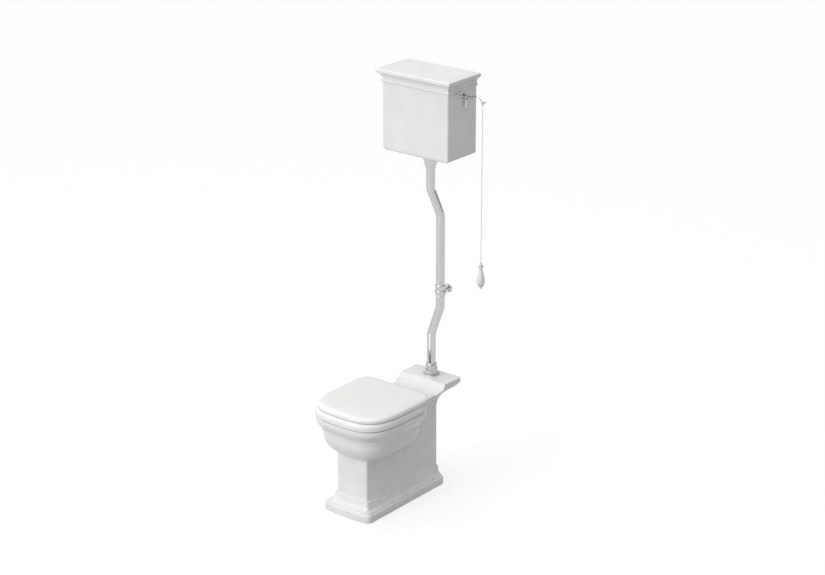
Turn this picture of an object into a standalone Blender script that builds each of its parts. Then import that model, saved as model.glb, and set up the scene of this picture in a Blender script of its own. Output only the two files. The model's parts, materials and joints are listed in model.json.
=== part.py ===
"""A high level toilet: a china pan with seat and cover, a chromed flush pipe, and a china cistern that
a chain empties through a siphon. Metres, +Z up, +Y towards the wall; the origin is on the floor, under the
middle of the pan's heel."""

from math import cos, pi, radians, sin, tan, tau

import bmesh
import bpy
from mathutils import Matrix, Vector

GAP = 0.0003  # between pieces that touch
OUTLINE_STEPS = 30
CHAIN_POINTS = 45
FINE, PLAIN, SMALL = 20, 16, 12  # steps round a turned piece

# Floor, wall and pan
WALL_Y = 0.155
WALL_THICKNESS = 0.012
HEEL_DEPTH = 0.030
FOOT_HALF_WIDTH = 0.125
FOOT_LENGTH = 0.514
FOOT_BAND_HEIGHT = 0.033
FOOT_MOULDING_HEIGHT = 0.078
PEDESTAL_HALF_WIDTH = 0.0815
PEDESTAL_SETBACK = 0.040
RIM_TOP = 0.4265
RIM_HALF_WIDTH = 0.193
RIM_CENTRE_Y = -0.305
RIM_FRONT_LENGTH = 0.242
RIM_REAR_LENGTH = 0.166
RIM_BAND_HEIGHT = 0.014
RIM_OGEE_HEIGHT = 0.048
RIM_OGEE_INSET = 0.026
BOWL_DEPTH = 0.212
MOUTH_HALF_WIDTH = 0.128
MOUTH_CENTRE_Y = -0.350
MOUTH_HALF_LENGTH = 0.144
PLATFORM_HALF_WIDTH = 0.122
PLATFORM_TOP = 0.460
PLATFORM_REAR_Y = 0.131
PLATFORM_STEP_Y = 0.018
OUTLET_HEIGHT = 0.180
OUTLET_RADIUS = 0.051
OUTLET_WALL = 0.009
TRAP_RADIUS = 0.028
SPIGOT_LENGTH = 0.033
FLUSHWAY_RADIUS = 0.011
FLOOR_SCREW_Y = -0.050
FLOOR_SCREW_INSET = 0.0125
FLOOR_SCREW_RADIUS = 0.0029
SCREW_SEAT_RADIUS = 0.0065
SCREW_SEAT_DEPTH = 0.008

# Seat, cover and hinge
SEAT_LIFT = 0.004
SEAT_THICKNESS = 0.030
SEAT_HALF_WIDTH = 0.195
SEAT_FRONT_LENGTH = 0.244
SEAT_OPENING_HALF_WIDTH = 0.108
SEAT_OPENING_CENTRE_Y = -0.352
SEAT_OPENING_HALF_LENGTH = 0.134
COVER_LIFT = 0.0026
COVER_THICKNESS = 0.0225
COVER_INSET = 0.005
COVER_FRONT_INSET = 0.014
HINGE_Y = -0.152
HINGE_HEIGHT = 0.020
HINGE_HALF_SPACING = 0.0775
HINGE_KNUCKLE_RADIUS = 0.009
HINGE_KNUCKLE_WIDTH = 0.012
HINGE_POST_WIDTH = 0.016
HINGE_EYE_RADIUS = 0.0092
HINGE_ROD_RADIUS = 0.0035
HINGE_BOLT_RADIUS = 0.0028
HINGE_HOLE_RADIUS = 0.0068
HINGE_HOLE_DEPTH = 0.064
SEAT_BUFFER_RADIUS = 0.0078
COVER_BUFFER_RADIUS = 0.0065

# Flush pipe
PIPE_RADIUS = 0.019
PIPE_WALL = 0.0012
PIPE_INLET_Y = 0.077
PIPE_MIDDLE_X = 0.030
PIPE_MIDDLE_Y = 0.099
PIPE_BEND_RADIUS = 0.075
PIPE_LOWER_BEND_FOOT = 0.650
PIPE_LOWER_BEND_HEAD = 0.769
COLLAR_HEIGHT = 0.847
COLLAR_LENGTH = 0.050
COLLAR_WALL = 0.0022
CLIP_DROP = 0.007
CLIP_THICKNESS = 0.0022
CLIP_SCREW_RADIUS = 0.0016
FLANGE_THICKNESS = 0.0052
SOCKET_RADIUS = 0.0245
SOCKET_DEPTH = 0.024
FLANGE_RADIUS = 0.036
INLET_NUT_HEIGHT = 0.047
ROSETTE_RADIUS = 0.020

# Cistern
CISTERN_HALF_WIDTH = 0.1715
CISTERN_DEPTH = 0.193
CISTERN_BOTTOM = 1.466
CISTERN_HEIGHT = 0.2915
CISTERN_WALL = 0.009
LID_HEIGHT = 0.0555
LID_OVERHANG = 0.0215
LID_WALL = 0.009
LID_SPIGOT = 0.008
OUTLET_Y = 0.068
TAIL_RADIUS = 0.025
TAIL_LENGTH = 0.046
UNION_RADIUS = 0.031
UNION_TOP_DROP = 0.022
UNION_HEIGHT = 0.053
WALL_SCREW_HALF_SPACING = 0.115
WALL_SCREW_DROP = 0.058
WALL_SCREW_RADIUS = 0.0037
WASHER_THICKNESS = 0.002
BACK_NUT_THICKNESS = 0.012
SEALING_THICKNESS = 0.003
LEVER_SLOT_LOW = -0.006  # from the fulcrum
LEVER_SLOT_HIGH = 0.014

# Siphon
CHAMBER_X = 0.062
CHAMBER_RADIUS = 0.034
SIPHON_WALL = 0.003
SIPHON_LEG_RADIUS = 0.023
SIPHON_FLANGE_RADIUS = 0.036
CROWN_DROP = 0.062
ROD_RADIUS = 0.003

# Lever, chain and handle
FULCRUM_OFFSET = 0.0095
FULCRUM_DROP = 0.029
LEVER_RADIUS = 0.0036
LEVER_REACH = 0.085
LEVER_EYE_RADIUS = 0.0068
RING_RADIUS = 0.0078
RING_WIRE = 0.0012
SHACKLE_RADIUS = 0.0042
SHACKLE_WIRE = 0.0010
FULCRUM_PIN_RADIUS = 0.0025
CHAIN_RADIUS = 0.0026
CHAIN_LENGTH = 0.685
HANDLE_LENGTH = 0.082
HANDLE_RADIUS = 0.0165
FERRULE_LENGTH = 0.018
FINIAL_LENGTH = 0.014

# Inlet valve and float
VALVE_Y = 0.117
VALVE_DROP = 0.052
VALVE_RADIUS = 0.012
VALVE_LENGTH = 0.082
SHANK_RADIUS = 0.010
SHANK_OUT = 0.026
INLET_WASHER_THICKNESS = 0.0025
FLOAT_PIN_RADIUS = 0.0020
FLOAT_RADIUS = 0.037
FLOAT_ARM_LENGTH = 0.090
FLOAT_ANGLE = radians(40)

# Worked out from the sizes above
HEEL_Y = HEEL_DEPTH / 2
FOOT_FRONT_Y = HEEL_Y - FOOT_LENGTH
PEDESTAL_FRONT_Y = FOOT_FRONT_Y + PEDESTAL_SETBACK
SEAT_BOTTOM = RIM_TOP + SEAT_LIFT
SEAT_TOP = SEAT_BOTTOM + SEAT_THICKNESS
COVER_BOTTOM = SEAT_TOP + COVER_LIFT
COVER_TOP = COVER_BOTTOM + COVER_THICKNESS
HINGE_Z = RIM_TOP + HINGE_HEIGHT
CISTERN_FRONT_Y = WALL_Y - CISTERN_DEPTH
CISTERN_FLOOR = CISTERN_BOTTOM + CISTERN_WALL
CISTERN_TOP = CISTERN_BOTTOM + CISTERN_HEIGHT
LID_TOP = CISTERN_TOP + LID_HEIGHT
PIPE_UPPER_BEND_HEAD = CISTERN_BOTTOM - 0.163
PIPE_UPPER_BEND_FOOT = CISTERN_BOTTOM - 0.284
CROWN_TOP = CISTERN_TOP - CROWN_DROP
LEVER_Y = OUTLET_Y
FULCRUM_X = CISTERN_HALF_WIDTH + FULCRUM_OFFSET
FULCRUM_Z = CISTERN_TOP - FULCRUM_DROP


# ------------------------------------------------------------------ scene and materials


def clear_scene():
    for old in list(bpy.data.objects):
        bpy.data.objects.remove(old, do_unlink=True)


def material(name, colour, roughness, metallic=0.0):
    made = bpy.data.materials.new(name)
    made.use_nodes = True
    shader = made.node_tree.nodes["Principled BSDF"]
    shader.inputs["Base Color"].default_value = (*colour, 1.0)
    shader.inputs["Roughness"].default_value = roughness
    shader.inputs["Metallic"].default_value = metallic
    made.diffuse_color = (*colour, 1.0)
    return made


# ------------------------------------------------------------------ making solids


def finish_mesh(name, bm, look):
    """The bmesh as a named object with outward normals, shaded smooth but for its edges over 35 degrees."""
    bmesh.ops.recalc_face_normals(bm, faces=bm.faces)
    mesh = bpy.data.meshes.new(name)
    bm.to_mesh(mesh)
    bm.free()
    made = bpy.data.objects.new(name, mesh)
    bpy.context.scene.collection.objects.link(made)
    mesh.materials.append(look)
    mesh.shade_smooth()
    mesh.set_sharp_from_angle(angle=radians(35))
    return made


def loft(name, rings, look, closed=False):
    """A skin over rings of points, capped at both ends, or joined end to end when closed."""
    bm = bmesh.new()
    made = [[bm.verts.new(point) for point in ring] for ring in rings]
    pairs = list(zip(made, made[1:]))
    if closed:
        pairs.append((made[-1], made[0]))
    else:
        bm.faces.new(made[0])
        bm.faces.new(made[-1])
    for lower, upper in pairs:
        for i in range(len(lower)):
            j = (i + 1) % len(lower)
            bm.faces.new((lower[i], lower[j], upper[j], upper[i]))
    return finish_mesh(name, bm, look)


def turned(name, profile, look, place=(0, 0, 0), axis="Z", steps=PLAIN):
    """A profile of (radius, height) points turned about an axis through place. Its ends lie on the axis,
    or its first point is its last, which leaves a bore."""
    turns = {"Z": Matrix(), "X": Matrix.Rotation(pi / 2, 4, "Y"), "Y": Matrix.Rotation(-pi / 2, 4, "X")}
    matrix = Matrix.Translation(place) @ turns[axis]
    bm = bmesh.new()
    looped = profile[0] == profile[-1]
    rows = []
    for radius, height in profile[:-1] if looped else profile:
        count = steps if radius else 1
        angles = [tau * i / count for i in range(count)]
        points = [Vector((radius * cos(angle), radius * sin(angle), height)) for angle in angles]
        rows.append([bm.verts.new(matrix @ point) for point in points])
    pairs = list(zip(rows, rows[1:])) + ([(rows[-1], rows[0])] if looped else [])
    for first, second in pairs:
        for i in range(steps):
            corners = [
                first[i % len(first)],
                first[(i + 1) % len(first)],
                second[(i + 1) % len(second)],
                second[i % len(second)],
            ]
            bm.faces.new(list(dict.fromkeys(corners)))
    return finish_mesh(name, bm, look)


def tube(inner, outer, low, high, chamfer=0.0):
    """The closed profile of a plain tube, for turned()."""
    foot, head = [(outer, low)], [(outer, high)]
    if chamfer:
        foot = [(outer - chamfer, low), (outer, low + chamfer)]
        head = [(outer, high - chamfer), (outer - chamfer, high)]
    return [(inner, low), *foot, *head, (inner, high), (inner, low)]


def rod(radius, low, high, chamfer=0.0):
    """The open profile of a plain rod, for turned()."""
    return tube(0, radius, low, high, chamfer)[:-1]


def ball_profile(radius, steps):
    """The open profile of a ball, for turned()."""
    middle = [(radius * sin(pi * i / steps), -radius * cos(pi * i / steps)) for i in range(1, steps)]
    return [(0, -radius), *middle, (0, radius)]


def box(name, low, high, look, bevel=0.0):
    """A block between two corners, its edges chamfered by bevel."""
    bm = bmesh.new()
    bmesh.ops.create_cube(bm, size=1.0)
    for vert in bm.verts:
        vert.co = Vector(low[i] if vert.co[i] < 0 else high[i] for i in range(3))
    if bevel:
        bmesh.ops.bevel(bm, geom=bm.edges[:], offset=bevel, segments=1, profile=0.5, affect="EDGES")
    return finish_mesh(name, bm, look)


def frames(points):
    """Two directions across the path at each of its points, carried along without twisting."""
    found = []
    side = None
    for i in range(len(points)):
        ahead = (points[min(i + 1, len(points) - 1)] - points[max(i - 1, 0)]).normalized()
        if side is None:
            side = ahead.orthogonal().normalized()
        side = (side - ahead * side.dot(ahead)).normalized()
        found.append((side, ahead.cross(side)))
    return found


def circles(points, radius, steps):
    across = frames(points)
    return [
        [
            point + radius * (cos(tau * i / steps) * a + sin(tau * i / steps) * b)
            for i in range(steps)
        ]
        for point, (a, b) in zip(points, across)
    ]


def swept(name, points, radius, look, inner=0.0, steps=PLAIN):
    """A round bar along the points, or a pipe when it has an inner radius."""
    points = [Vector(point) for point in points]
    outside = circles(points, radius, steps)
    if not inner:
        return loft(name, outside, look)
    return loft(name, outside + circles(points, inner, steps)[::-1], look, closed=True)


def rounded_path(corners, radius, steps=6):
    """The path through the corners, with an arc of that radius at each inner one."""
    corners = [Vector(corner) for corner in corners]
    path = [corners[0]]
    for before, corner, after in zip(corners, corners[1:], corners[2:]):
        back, ahead = (before - corner).normalized(), (after - corner).normalized()
        half = back.angle(ahead) / 2
        reach = min(radius / tan(half), 0.49 * min((before - corner).length, (after - corner).length))
        bend = reach * tan(half)
        centre = corner + (back + ahead).normalized() * (bend / sin(half))
        start, end = corner + back * reach - centre, corner + ahead * reach - centre
        whole = start.angle(end)
        for i in range(steps + 1):
            share = i / steps
            arm = sin((1 - share) * whole) * start + sin(share * whole) * end
            path.append(centre + arm / sin(whole))
    return path + [corners[-1]]


def superellipse(z, centre_y, half_width, front, rear, powers=(3.5, 3.5), steps=OUTLINE_STEPS):
    """A level outline with one half width, and its own length and squareness before and behind its centre."""
    ring = []
    for i in range(steps):
        turn = tau * (i + 0.5) / steps
        across, along = sin(turn), -cos(turn)
        length, power = (front, powers[0]) if along < 0 else (rear, powers[1])
        x = half_width * abs(across) ** (2 / power) * (1 if across > 0 else -1)
        y = centre_y + length * abs(along) ** (2 / power) * (1 if along > 0 else -1)
        ring.append(Vector((x, y, z)))
    return ring


def rectangle(z, half_width, front_y, rear_y, radius=0.006, steps=2, bow=0.0):
    """A level rectangle with round corners, whose front edge bows out by bow."""
    radius = min(radius, 0.98 * half_width, 0.49 * (rear_y - front_y))
    corners = (
        (half_width - radius, front_y + radius, -pi / 2),
        (half_width - radius, rear_y - radius, 0.0),
        (radius - half_width, rear_y - radius, pi / 2),
        (radius - half_width, front_y + radius, pi),
    )
    ring = [
        Vector((x + radius * cos(start + turn), y + radius * sin(start + turn), z))
        for x, y, start in corners
        for turn in (pi / 2 * i / steps for i in range(steps + 1))
    ]
    if bow:
        inner = half_width - radius
        ring += [Vector((-inner + 2 * inner * i / 6, front_y, z)) for i in range(1, 6)]
        for point in ring:
            if point.y < front_y + radius:
                point.y -= bow * (1 - (point.x / half_width) ** 2)
    return ring


def prism(name, outline, half_width, look):
    """An outline of (y, z) points carried across from -half_width to half_width."""
    return loft(name, [[Vector((x, y, z)) for y, z in outline] for x in (-half_width, half_width)], look)


def helper(made):
    """Hides a solid that only shapes another."""
    made.hide_render = True
    made.display_type = "WIRE"
    return made


def combine(target, operation, *others):
    """Joins helpers to a solid, or cuts them from it, in the order given."""
    for other in others:
        modifier = target.modifiers.new(other.name, "BOOLEAN")
        modifier.operation = operation
        modifier.solver = "EXACT"
        modifier.object = helper(other)


def join(target, *others):
    combine(target, "UNION", *others)


def cut(target, *others):
    combine(target, "DIFFERENCE", *others)


def hang(piece, pivot):
    """Parents a piece to an empty on its joint's axis, leaving it where it is."""
    if pivot.name not in bpy.context.scene.collection.objects:
        bpy.context.scene.collection.objects.link(pivot)
    piece.parent = pivot
    piece.matrix_parent_inverse = Matrix.Translation(-pivot.location)


def pivot_at(name, place):
    empty = bpy.data.objects.new(name, None)
    empty.location = place
    return empty


def hexagon(name, across_flats, low, high, look, place, axis="Z", crown=0.0):
    """A hexagonal nut blank whose far end narrows to a crown of that radius."""
    radius = across_flats / 2 / cos(pi / 6)
    profile = rod(radius, low, high)
    if crown:
        profile[2:3] = [(radius * 0.97, low + 0.62 * (high - low)), (crown, high)]
    return turned(name, profile, look, place, axis, steps=6)


# ------------------------------------------------------------------ the pan


def smooth_step(share):
    return share * share * (3 - 2 * share)


def pedestal(look):
    """The foot with its stepped moulding, the straight pedestal, and the platform that swells out behind."""
    band, top = FOOT_BAND_HEIGHT, FOOT_MOULDING_HEIGHT
    spread = FOOT_HALF_WIDTH - PEDESTAL_HALF_WIDTH
    # Height, share of the spread, and corner radius, from the floor up
    steps = [(0.0, 0.97), (0.002, 1.0), (band - 0.003, 1.0), (band, 0.97), (band + 0.0005, 0.78)]
    cove_foot, cove_rise = band + 0.006, top - band - 0.018
    for turn in (pi / 2 * i / 5 for i in range(6)):
        steps.append((cove_foot + cove_rise * (1 - cos(turn)), 0.77 - 0.50 * sin(turn)))
    steps += [(top - 0.010, 0.24), (top - 0.003, 0.24), (top, 0.13), (top + 0.0005, 0.02), (top + 0.012, 0.0)]
    rings = []
    for z, share in steps:
        half_width = PEDESTAL_HALF_WIDTH + share * spread
        front_y = PEDESTAL_FRONT_Y - share * PEDESTAL_SETBACK
        radius, bow = 0.008 + 0.010 * share, 0.004 + 0.006 * share
        rings.append(rectangle(z, half_width, front_y, HEEL_Y, radius, 2, bow))
    # Drop under the platform's top, and share of the ogee that swells out to the platform
    swell = ((0.105, 0.0), (0.088, 0.03), (0.070, 0.10), (0.058, 0.22), (0.050, 0.36), (0.044, 0.52))
    swell += ((0.038, 0.70), (0.031, 0.86), (0.024, 0.96), (0.016, 1.0), (0.003, 1.0), (0.0, 0.975))
    for drop, share in swell:
        half_width = PEDESTAL_HALF_WIDTH + share * (PLATFORM_HALF_WIDTH - PEDESTAL_HALF_WIDTH)
        rear_y = HEEL_Y + share * (PLATFORM_REAR_Y - HEEL_Y)
        front_y = PEDESTAL_FRONT_Y + 0.10 * share
        rings.append(rectangle(PLATFORM_TOP - drop, half_width, front_y, rear_y, 0.008, 2, 0.004))
    return loft("pan", rings, look)


def bowl_rings():
    """Outlines of the bowl from its round underside, through its band and its ogee, up to the rim."""
    band_top = RIM_TOP - RIM_BAND_HEIGHT
    ogee_foot = band_top - RIM_OGEE_HEIGHT
    shoulder = ogee_foot - 0.018
    depth = shoulder - (RIM_TOP - BOWL_DEPTH)
    # Height, inset from the rim, and share of the full section
    profile = [
        (shoulder - depth * cos(turn), RIM_OGEE_INSET + 0.001, sin(turn))
        for turn in (pi / 2 * (i + 0.6) / 6 for i in range(6))
    ]
    cove = RIM_OGEE_INSET - 0.003
    profile += [(shoulder, RIM_OGEE_INSET + 0.0005, 1.0), (ogee_foot - 0.006, RIM_OGEE_INSET, 1.0)]
    profile += [(ogee_foot - 0.005, cove, 1.0), (ogee_foot, cove, 1.0)]
    for share in (i / 4 for i in range(1, 5)):
        profile.append((ogee_foot + RIM_OGEE_HEIGHT * share, cove * (1 - smooth_step(share)) + 0.001, 1.0))
    profile += [(band_top + 0.003, 0.0, 1.0), (RIM_TOP + 0.006, 0.0, 1.0)]
    lengths = RIM_HALF_WIDTH, RIM_FRONT_LENGTH, RIM_REAR_LENGTH
    return [
        superellipse(z, RIM_CENTRE_Y, *((length - inset) * share for length in lengths), (3.4, 4.2))
        for z, inset, share in profile
    ]


def bowl_hollow_rings():
    """Outlines of the space inside the bowl's skin, short of the hinge holes behind it."""
    wall = WALL_THICKNESS
    ceiling = RIM_TOP - 0.016
    band_foot = RIM_TOP - RIM_BAND_HEIGHT - RIM_OGEE_HEIGHT
    floor = RIM_TOP - BOWL_DEPTH + wall
    rear_limit = HINGE_Y - HINGE_HOLE_RADIUS - 0.007 - RIM_CENTRE_Y
    rings = []
    for z in [floor + (band_foot - 0.018 - floor) * i / 4 for i in range(5)] + [band_foot, ceiling]:
        share = min(1.0, (z - floor) / (band_foot - 0.018 - floor))
        share = max(0.45, (1 - (1 - share) ** 2) ** 0.5)
        half_width = (RIM_HALF_WIDTH - RIM_OGEE_INSET - wall) * share
        front = (RIM_FRONT_LENGTH - RIM_OGEE_INSET - wall) * share
        rear = min((RIM_REAR_LENGTH - RIM_OGEE_INSET - wall) * share, rear_limit)
        rings.append(superellipse(z, RIM_CENTRE_Y, half_width, front, rear, (3.4, 4.2), 24))
    return rings


def deck_step(look):
    """What is cut away above the rim and the deck: its rear edge leaves a riser, a tread and an ogee."""
    rise = PLATFORM_TOP - RIM_TOP
    tread = RIM_TOP + 0.30 * rise
    step, clear_y, clear_z = PLATFORM_STEP_Y, FOOT_FRONT_Y - 0.2, PLATFORM_TOP + 0.03
    outline = [(clear_y, RIM_TOP), (step - 0.040, RIM_TOP), (step - 0.035, tread)]
    for share in (i / 6 for i in range(7)):
        rise = (PLATFORM_TOP - tread) * smooth_step(share)
        outline.append((step - 0.016 + 0.018 * share, tread + rise))
    outline += [(step + 0.002, clear_z), (clear_y, clear_z)]
    return prism("deck_step", outline, 2 * RIM_HALF_WIDTH, look)


def mouth_rings(wall=0.0):
    """Outlines of the bowl's inside from the water outlet up through the mouth, larger by wall."""
    lip = RIM_TOP - 0.034
    levels = (
        (RIM_TOP - 0.245, 0.27, 0.27, 0.055),
        (RIM_TOP - 0.225, 0.40, 0.40, 0.052),
        (RIM_TOP - 0.185, 0.58, 0.60, 0.040),
        (RIM_TOP - 0.140, 0.77, 0.78, 0.024),
        (RIM_TOP - 0.090, 0.93, 0.93, 0.010),
        (lip - 0.010, 1.06, 1.05, 0.0),
        (lip, 1.06, 1.05, 0.0),
    )
    rings = [
        superellipse(
            z - wall * (z < RIM_TOP - 0.22),
            MOUTH_CENTRE_Y + shift,
            MOUTH_HALF_WIDTH * wide + wall,
            MOUTH_HALF_LENGTH * long + wall,
            MOUTH_HALF_LENGTH * long + wall,
            (2.3, 2.3),
            24,
        )
        for z, wide, long, shift in levels
    ]
    top = RIM_TOP - 0.004 if wall else RIM_TOP + 0.02
    for z in (lip + 0.003, top):
        size = MOUTH_HALF_WIDTH + wall, MOUTH_HALF_LENGTH + wall, MOUTH_HALF_LENGTH + wall
        rings.append(superellipse(z, MOUTH_CENTRE_Y, *size, (2.3, 2.3), 24))
    return rings


def trap_path():
    """From inside the bowl down through its outlet, up over the weir, and down to the spigot's height."""
    corners = (
        (0, MOUTH_CENTRE_Y + 0.032, OUTLET_HEIGHT + 0.110),
        (0, MOUTH_CENTRE_Y + 0.065, OUTLET_HEIGHT - 0.070),
        (0, HEEL_Y - 0.127, OUTLET_HEIGHT + 0.095),
        (0, HEEL_Y - 0.060, OUTLET_HEIGHT),
        (0, HEEL_Y - 0.005, OUTLET_HEIGHT),
    )
    return rounded_path(corners, TRAP_RADIUS + WALL_THICKNESS + 0.005, 4)


def flushing_path():
    """From the socket under the inlet, down and forwards into the space under the rim."""
    return (
        (0, PIPE_INLET_Y + 0.006, PLATFORM_TOP - SOCKET_DEPTH + 0.002),
        (0, PLATFORM_STEP_Y - 0.045, RIM_TOP - 0.022),
        (0, MOUTH_CENTRE_Y + MOUTH_HALF_LENGTH - 0.004, RIM_TOP - 0.043),
    )


def pedestal_hollow(look):
    """The space inside the foot and the pedestal, open to the floor and, low down, to the rear."""
    wall = WALL_THICKNESS
    foot = FOOT_HALF_WIDTH - wall, FOOT_FRONT_Y + wall, HEEL_Y - HEEL_DEPTH
    column = PEDESTAL_HALF_WIDTH - wall, PEDESTAL_FRONT_Y + wall
    rings = [
        rectangle(-0.01, *foot),
        rectangle(FOOT_BAND_HEIGHT * 0.9, *foot),
        rectangle(FOOT_MOULDING_HEIGHT, *column, HEEL_Y - HEEL_DEPTH + 0.004),
        rectangle(FOOT_MOULDING_HEIGHT + 0.03, *column, HEEL_Y - wall),
        rectangle(RIM_TOP - 0.016, *column, HEEL_Y - wall),
    ]
    return loft("pedestal_hollow", rings, look)


def screw_x():
    return FOOT_HALF_WIDTH - FLOOR_SCREW_INSET


def build_pan(look):
    pan = pedestal(look)
    join(pan, loft("bowl_form", bowl_rings(), look))
    cut(pan, deck_step(look))
    cut(pan, pedestal_hollow(look), loft("bowl_hollow", bowl_hollow_rings(), look))
    outlet, inlet = (0, 0, OUTLET_HEIGHT), (0, PIPE_INLET_Y, 0)
    spigot_end = HEEL_Y + SPIGOT_LENGTH
    join(
        pan,
        loft("bowl_lining", mouth_rings(0.010), look),
        swept("trap_lining", trap_path(), TRAP_RADIUS + 0.008, look, steps=SMALL),
        turned("spigot", rod(OUTLET_RADIUS, HEEL_Y - 0.040, spigot_end), look, outlet, "Y", FINE),
        swept("flushing_lining", flushing_path()[1:], FLUSHWAY_RADIUS + 0.007, look, steps=SMALL),
    )
    bore = rod(OUTLET_RADIUS - OUTLET_WALL, HEEL_Y - 0.031, spigot_end + 0.02)
    socket = rod(SOCKET_RADIUS, PLATFORM_TOP - SOCKET_DEPTH, PLATFORM_TOP + 0.02)
    cut(
        pan,
        loft("bowl_inside", mouth_rings(), look),
        swept("trap_inside", trap_path(), TRAP_RADIUS, look, steps=SMALL),
        turned("spigot_bore", bore, look, outlet, "Y", FINE),
        swept("flushing_inside", flushing_path(), FLUSHWAY_RADIUS, look, steps=SMALL),
        turned("inlet_socket", socket, look, inlet, steps=FINE),
    )
    hinge_hole = rod(HINGE_HOLE_RADIUS, RIM_TOP - HINGE_HOLE_DEPTH, RIM_TOP + 0.02)
    screw_hole = rod(FLOOR_SCREW_RADIUS + 0.0006, -0.01, 0.1)
    screw_seat = rod(SCREW_SEAT_RADIUS, FOOT_BAND_HEIGHT - SCREW_SEAT_DEPTH, 0.1)
    for side, sign in (("left", -1), ("right", 1)):
        hinge, screw = (sign * HINGE_HALF_SPACING, HINGE_Y, 0), (sign * screw_x(), FLOOR_SCREW_Y, 0)
        cut(
            pan,
            turned(f"hinge_hole_{side}", hinge_hole, look, hinge),
            turned(f"screw_hole_{side}", screw_hole, look, screw, steps=SMALL),
            turned(f"screw_seat_{side}", screw_seat, look, screw, steps=FINE),
        )


def floor_fixings(brass, white):
    """Screws that hold the foot down, each with a snap cap in the same counterbore."""
    seat = FOOT_BAND_HEIGHT - SCREW_SEAT_DEPTH
    head_top = seat + 0.0035
    shank, head = FLOOR_SCREW_RADIUS, SCREW_SEAT_RADIUS - 0.0023
    screw = [(0, 0.001), (shank, 0.001), (shank, seat + GAP), (head, seat + GAP)]
    screw += [(head, head_top), (0, head_top)]
    low, high, rim = head_top + GAP, FOOT_BAND_HEIGHT + 0.0045, SCREW_SEAT_RADIUS - 0.0004
    cap = [(0, low), (rim, low), (rim, FOOT_BAND_HEIGHT), (rim - 0.0015, high - 0.001)]
    cap += [(rim / 2, high), (0, high)]
    for side, sign in (("left", -1), ("right", 1)):
        place = (sign * screw_x(), FLOOR_SCREW_Y, 0)
        turned(f"floor_screw_{side}", screw, brass, place, steps=SMALL)
        turned(f"floor_screw_cap_{side}", cap, white, place, steps=SMALL)


# ------------------------------------------------------------------ seat, cover and hinge


def seat_outline(z, inset):
    rear = HINGE_Y - 0.001 - RIM_CENTRE_Y
    size = SEAT_HALF_WIDTH - inset, SEAT_FRONT_LENGTH - inset, rear - min(inset, 0.006)
    return superellipse(z, RIM_CENTRE_Y, *size, (3.4, 5.0))


def seat_opening(z, inset):
    length = SEAT_OPENING_HALF_LENGTH + inset
    return superellipse(z, SEAT_OPENING_CENTRE_Y, SEAT_OPENING_HALF_WIDTH + inset, length, length, (2.3, 2.3))


def buffer_places(front_share):
    """Where two front and two rear buffers stand, under the middle of the seat's ring."""
    x = (SEAT_HALF_WIDTH + SEAT_OPENING_HALF_WIDTH) / 2 * 0.86
    front_y = RIM_CENTRE_Y - SEAT_FRONT_LENGTH * front_share
    rear_y = SEAT_OPENING_CENTRE_Y + SEAT_OPENING_HALF_LENGTH * 0.75
    return {
        "front_left": (-x, front_y),
        "front_right": (x, front_y),
        "rear_left": (-x, rear_y),
        "rear_right": (x, rear_y),
    }


def between(first, second):
    """The two values, lower first."""
    return min(first, second), max(first, second)


def rod_hole(name, look):
    bore = rod(HINGE_ROD_RADIUS + GAP, -SEAT_HALF_WIDTH, SEAT_HALF_WIDTH)
    return turned(name, bore, look, (0, HINGE_Y, HINGE_Z), "X", SMALL)


def add_knuckles(target, outward, web_low, web_high, web_front, look):
    """Two barrels round the hinge rod, outside the posts or between them, each on a web from the target."""
    near = HINGE_POST_WIDTH / 2 + 0.001
    far = near + HINGE_KNUCKLE_WIDTH
    for side, sign in (("left", -1), ("right", 1)):
        low, high = between(
            sign * (HINGE_HALF_SPACING + outward * near), sign * (HINGE_HALF_SPACING + outward * far)
        )
        profile = rod(HINGE_KNUCKLE_RADIUS, low, high)
        barrel = turned(f"{target.name}_knuckle_{side}", profile, look, (0, HINGE_Y, HINGE_Z), "X")
        corners = (low + 0.0004, web_front, web_low), (high - 0.0004, HINGE_Y + 0.0045, web_high)
        join(target, box(f"{target.name}_web_{side}", *corners, look), barrel)


def cut_seat_clearance(seat, look):
    """Notches in the seat's rear edge, one round each post and the cover's knuckle beside it."""
    low, high = SEAT_BOTTOM - 0.01, SEAT_TOP + 0.01
    near = HINGE_HALF_SPACING - HINGE_POST_WIDTH / 2 - 0.001
    far = HINGE_HALF_SPACING + HINGE_POST_WIDTH / 2 + HINGE_KNUCKLE_WIDTH + 0.002
    inner = near - HINGE_KNUCKLE_WIDTH - 0.002
    for side, sign in (("left", -1), ("right", 1)):
        low_x, high_x = between(sign * near, sign * far)
        notch = (low_x, HINGE_Y - 0.017, low), (high_x, HINGE_Y + 0.03, high)
        low_x, high_x = between(sign * inner, sign * (near + 0.001))
        relief = (low_x, HINGE_Y - 0.0112, low), (high_x, HINGE_Y + 0.03, high)
        cut(seat, box(f"seat_notch_{side}", *notch, look), box(f"seat_relief_{side}", *relief, look))


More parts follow.
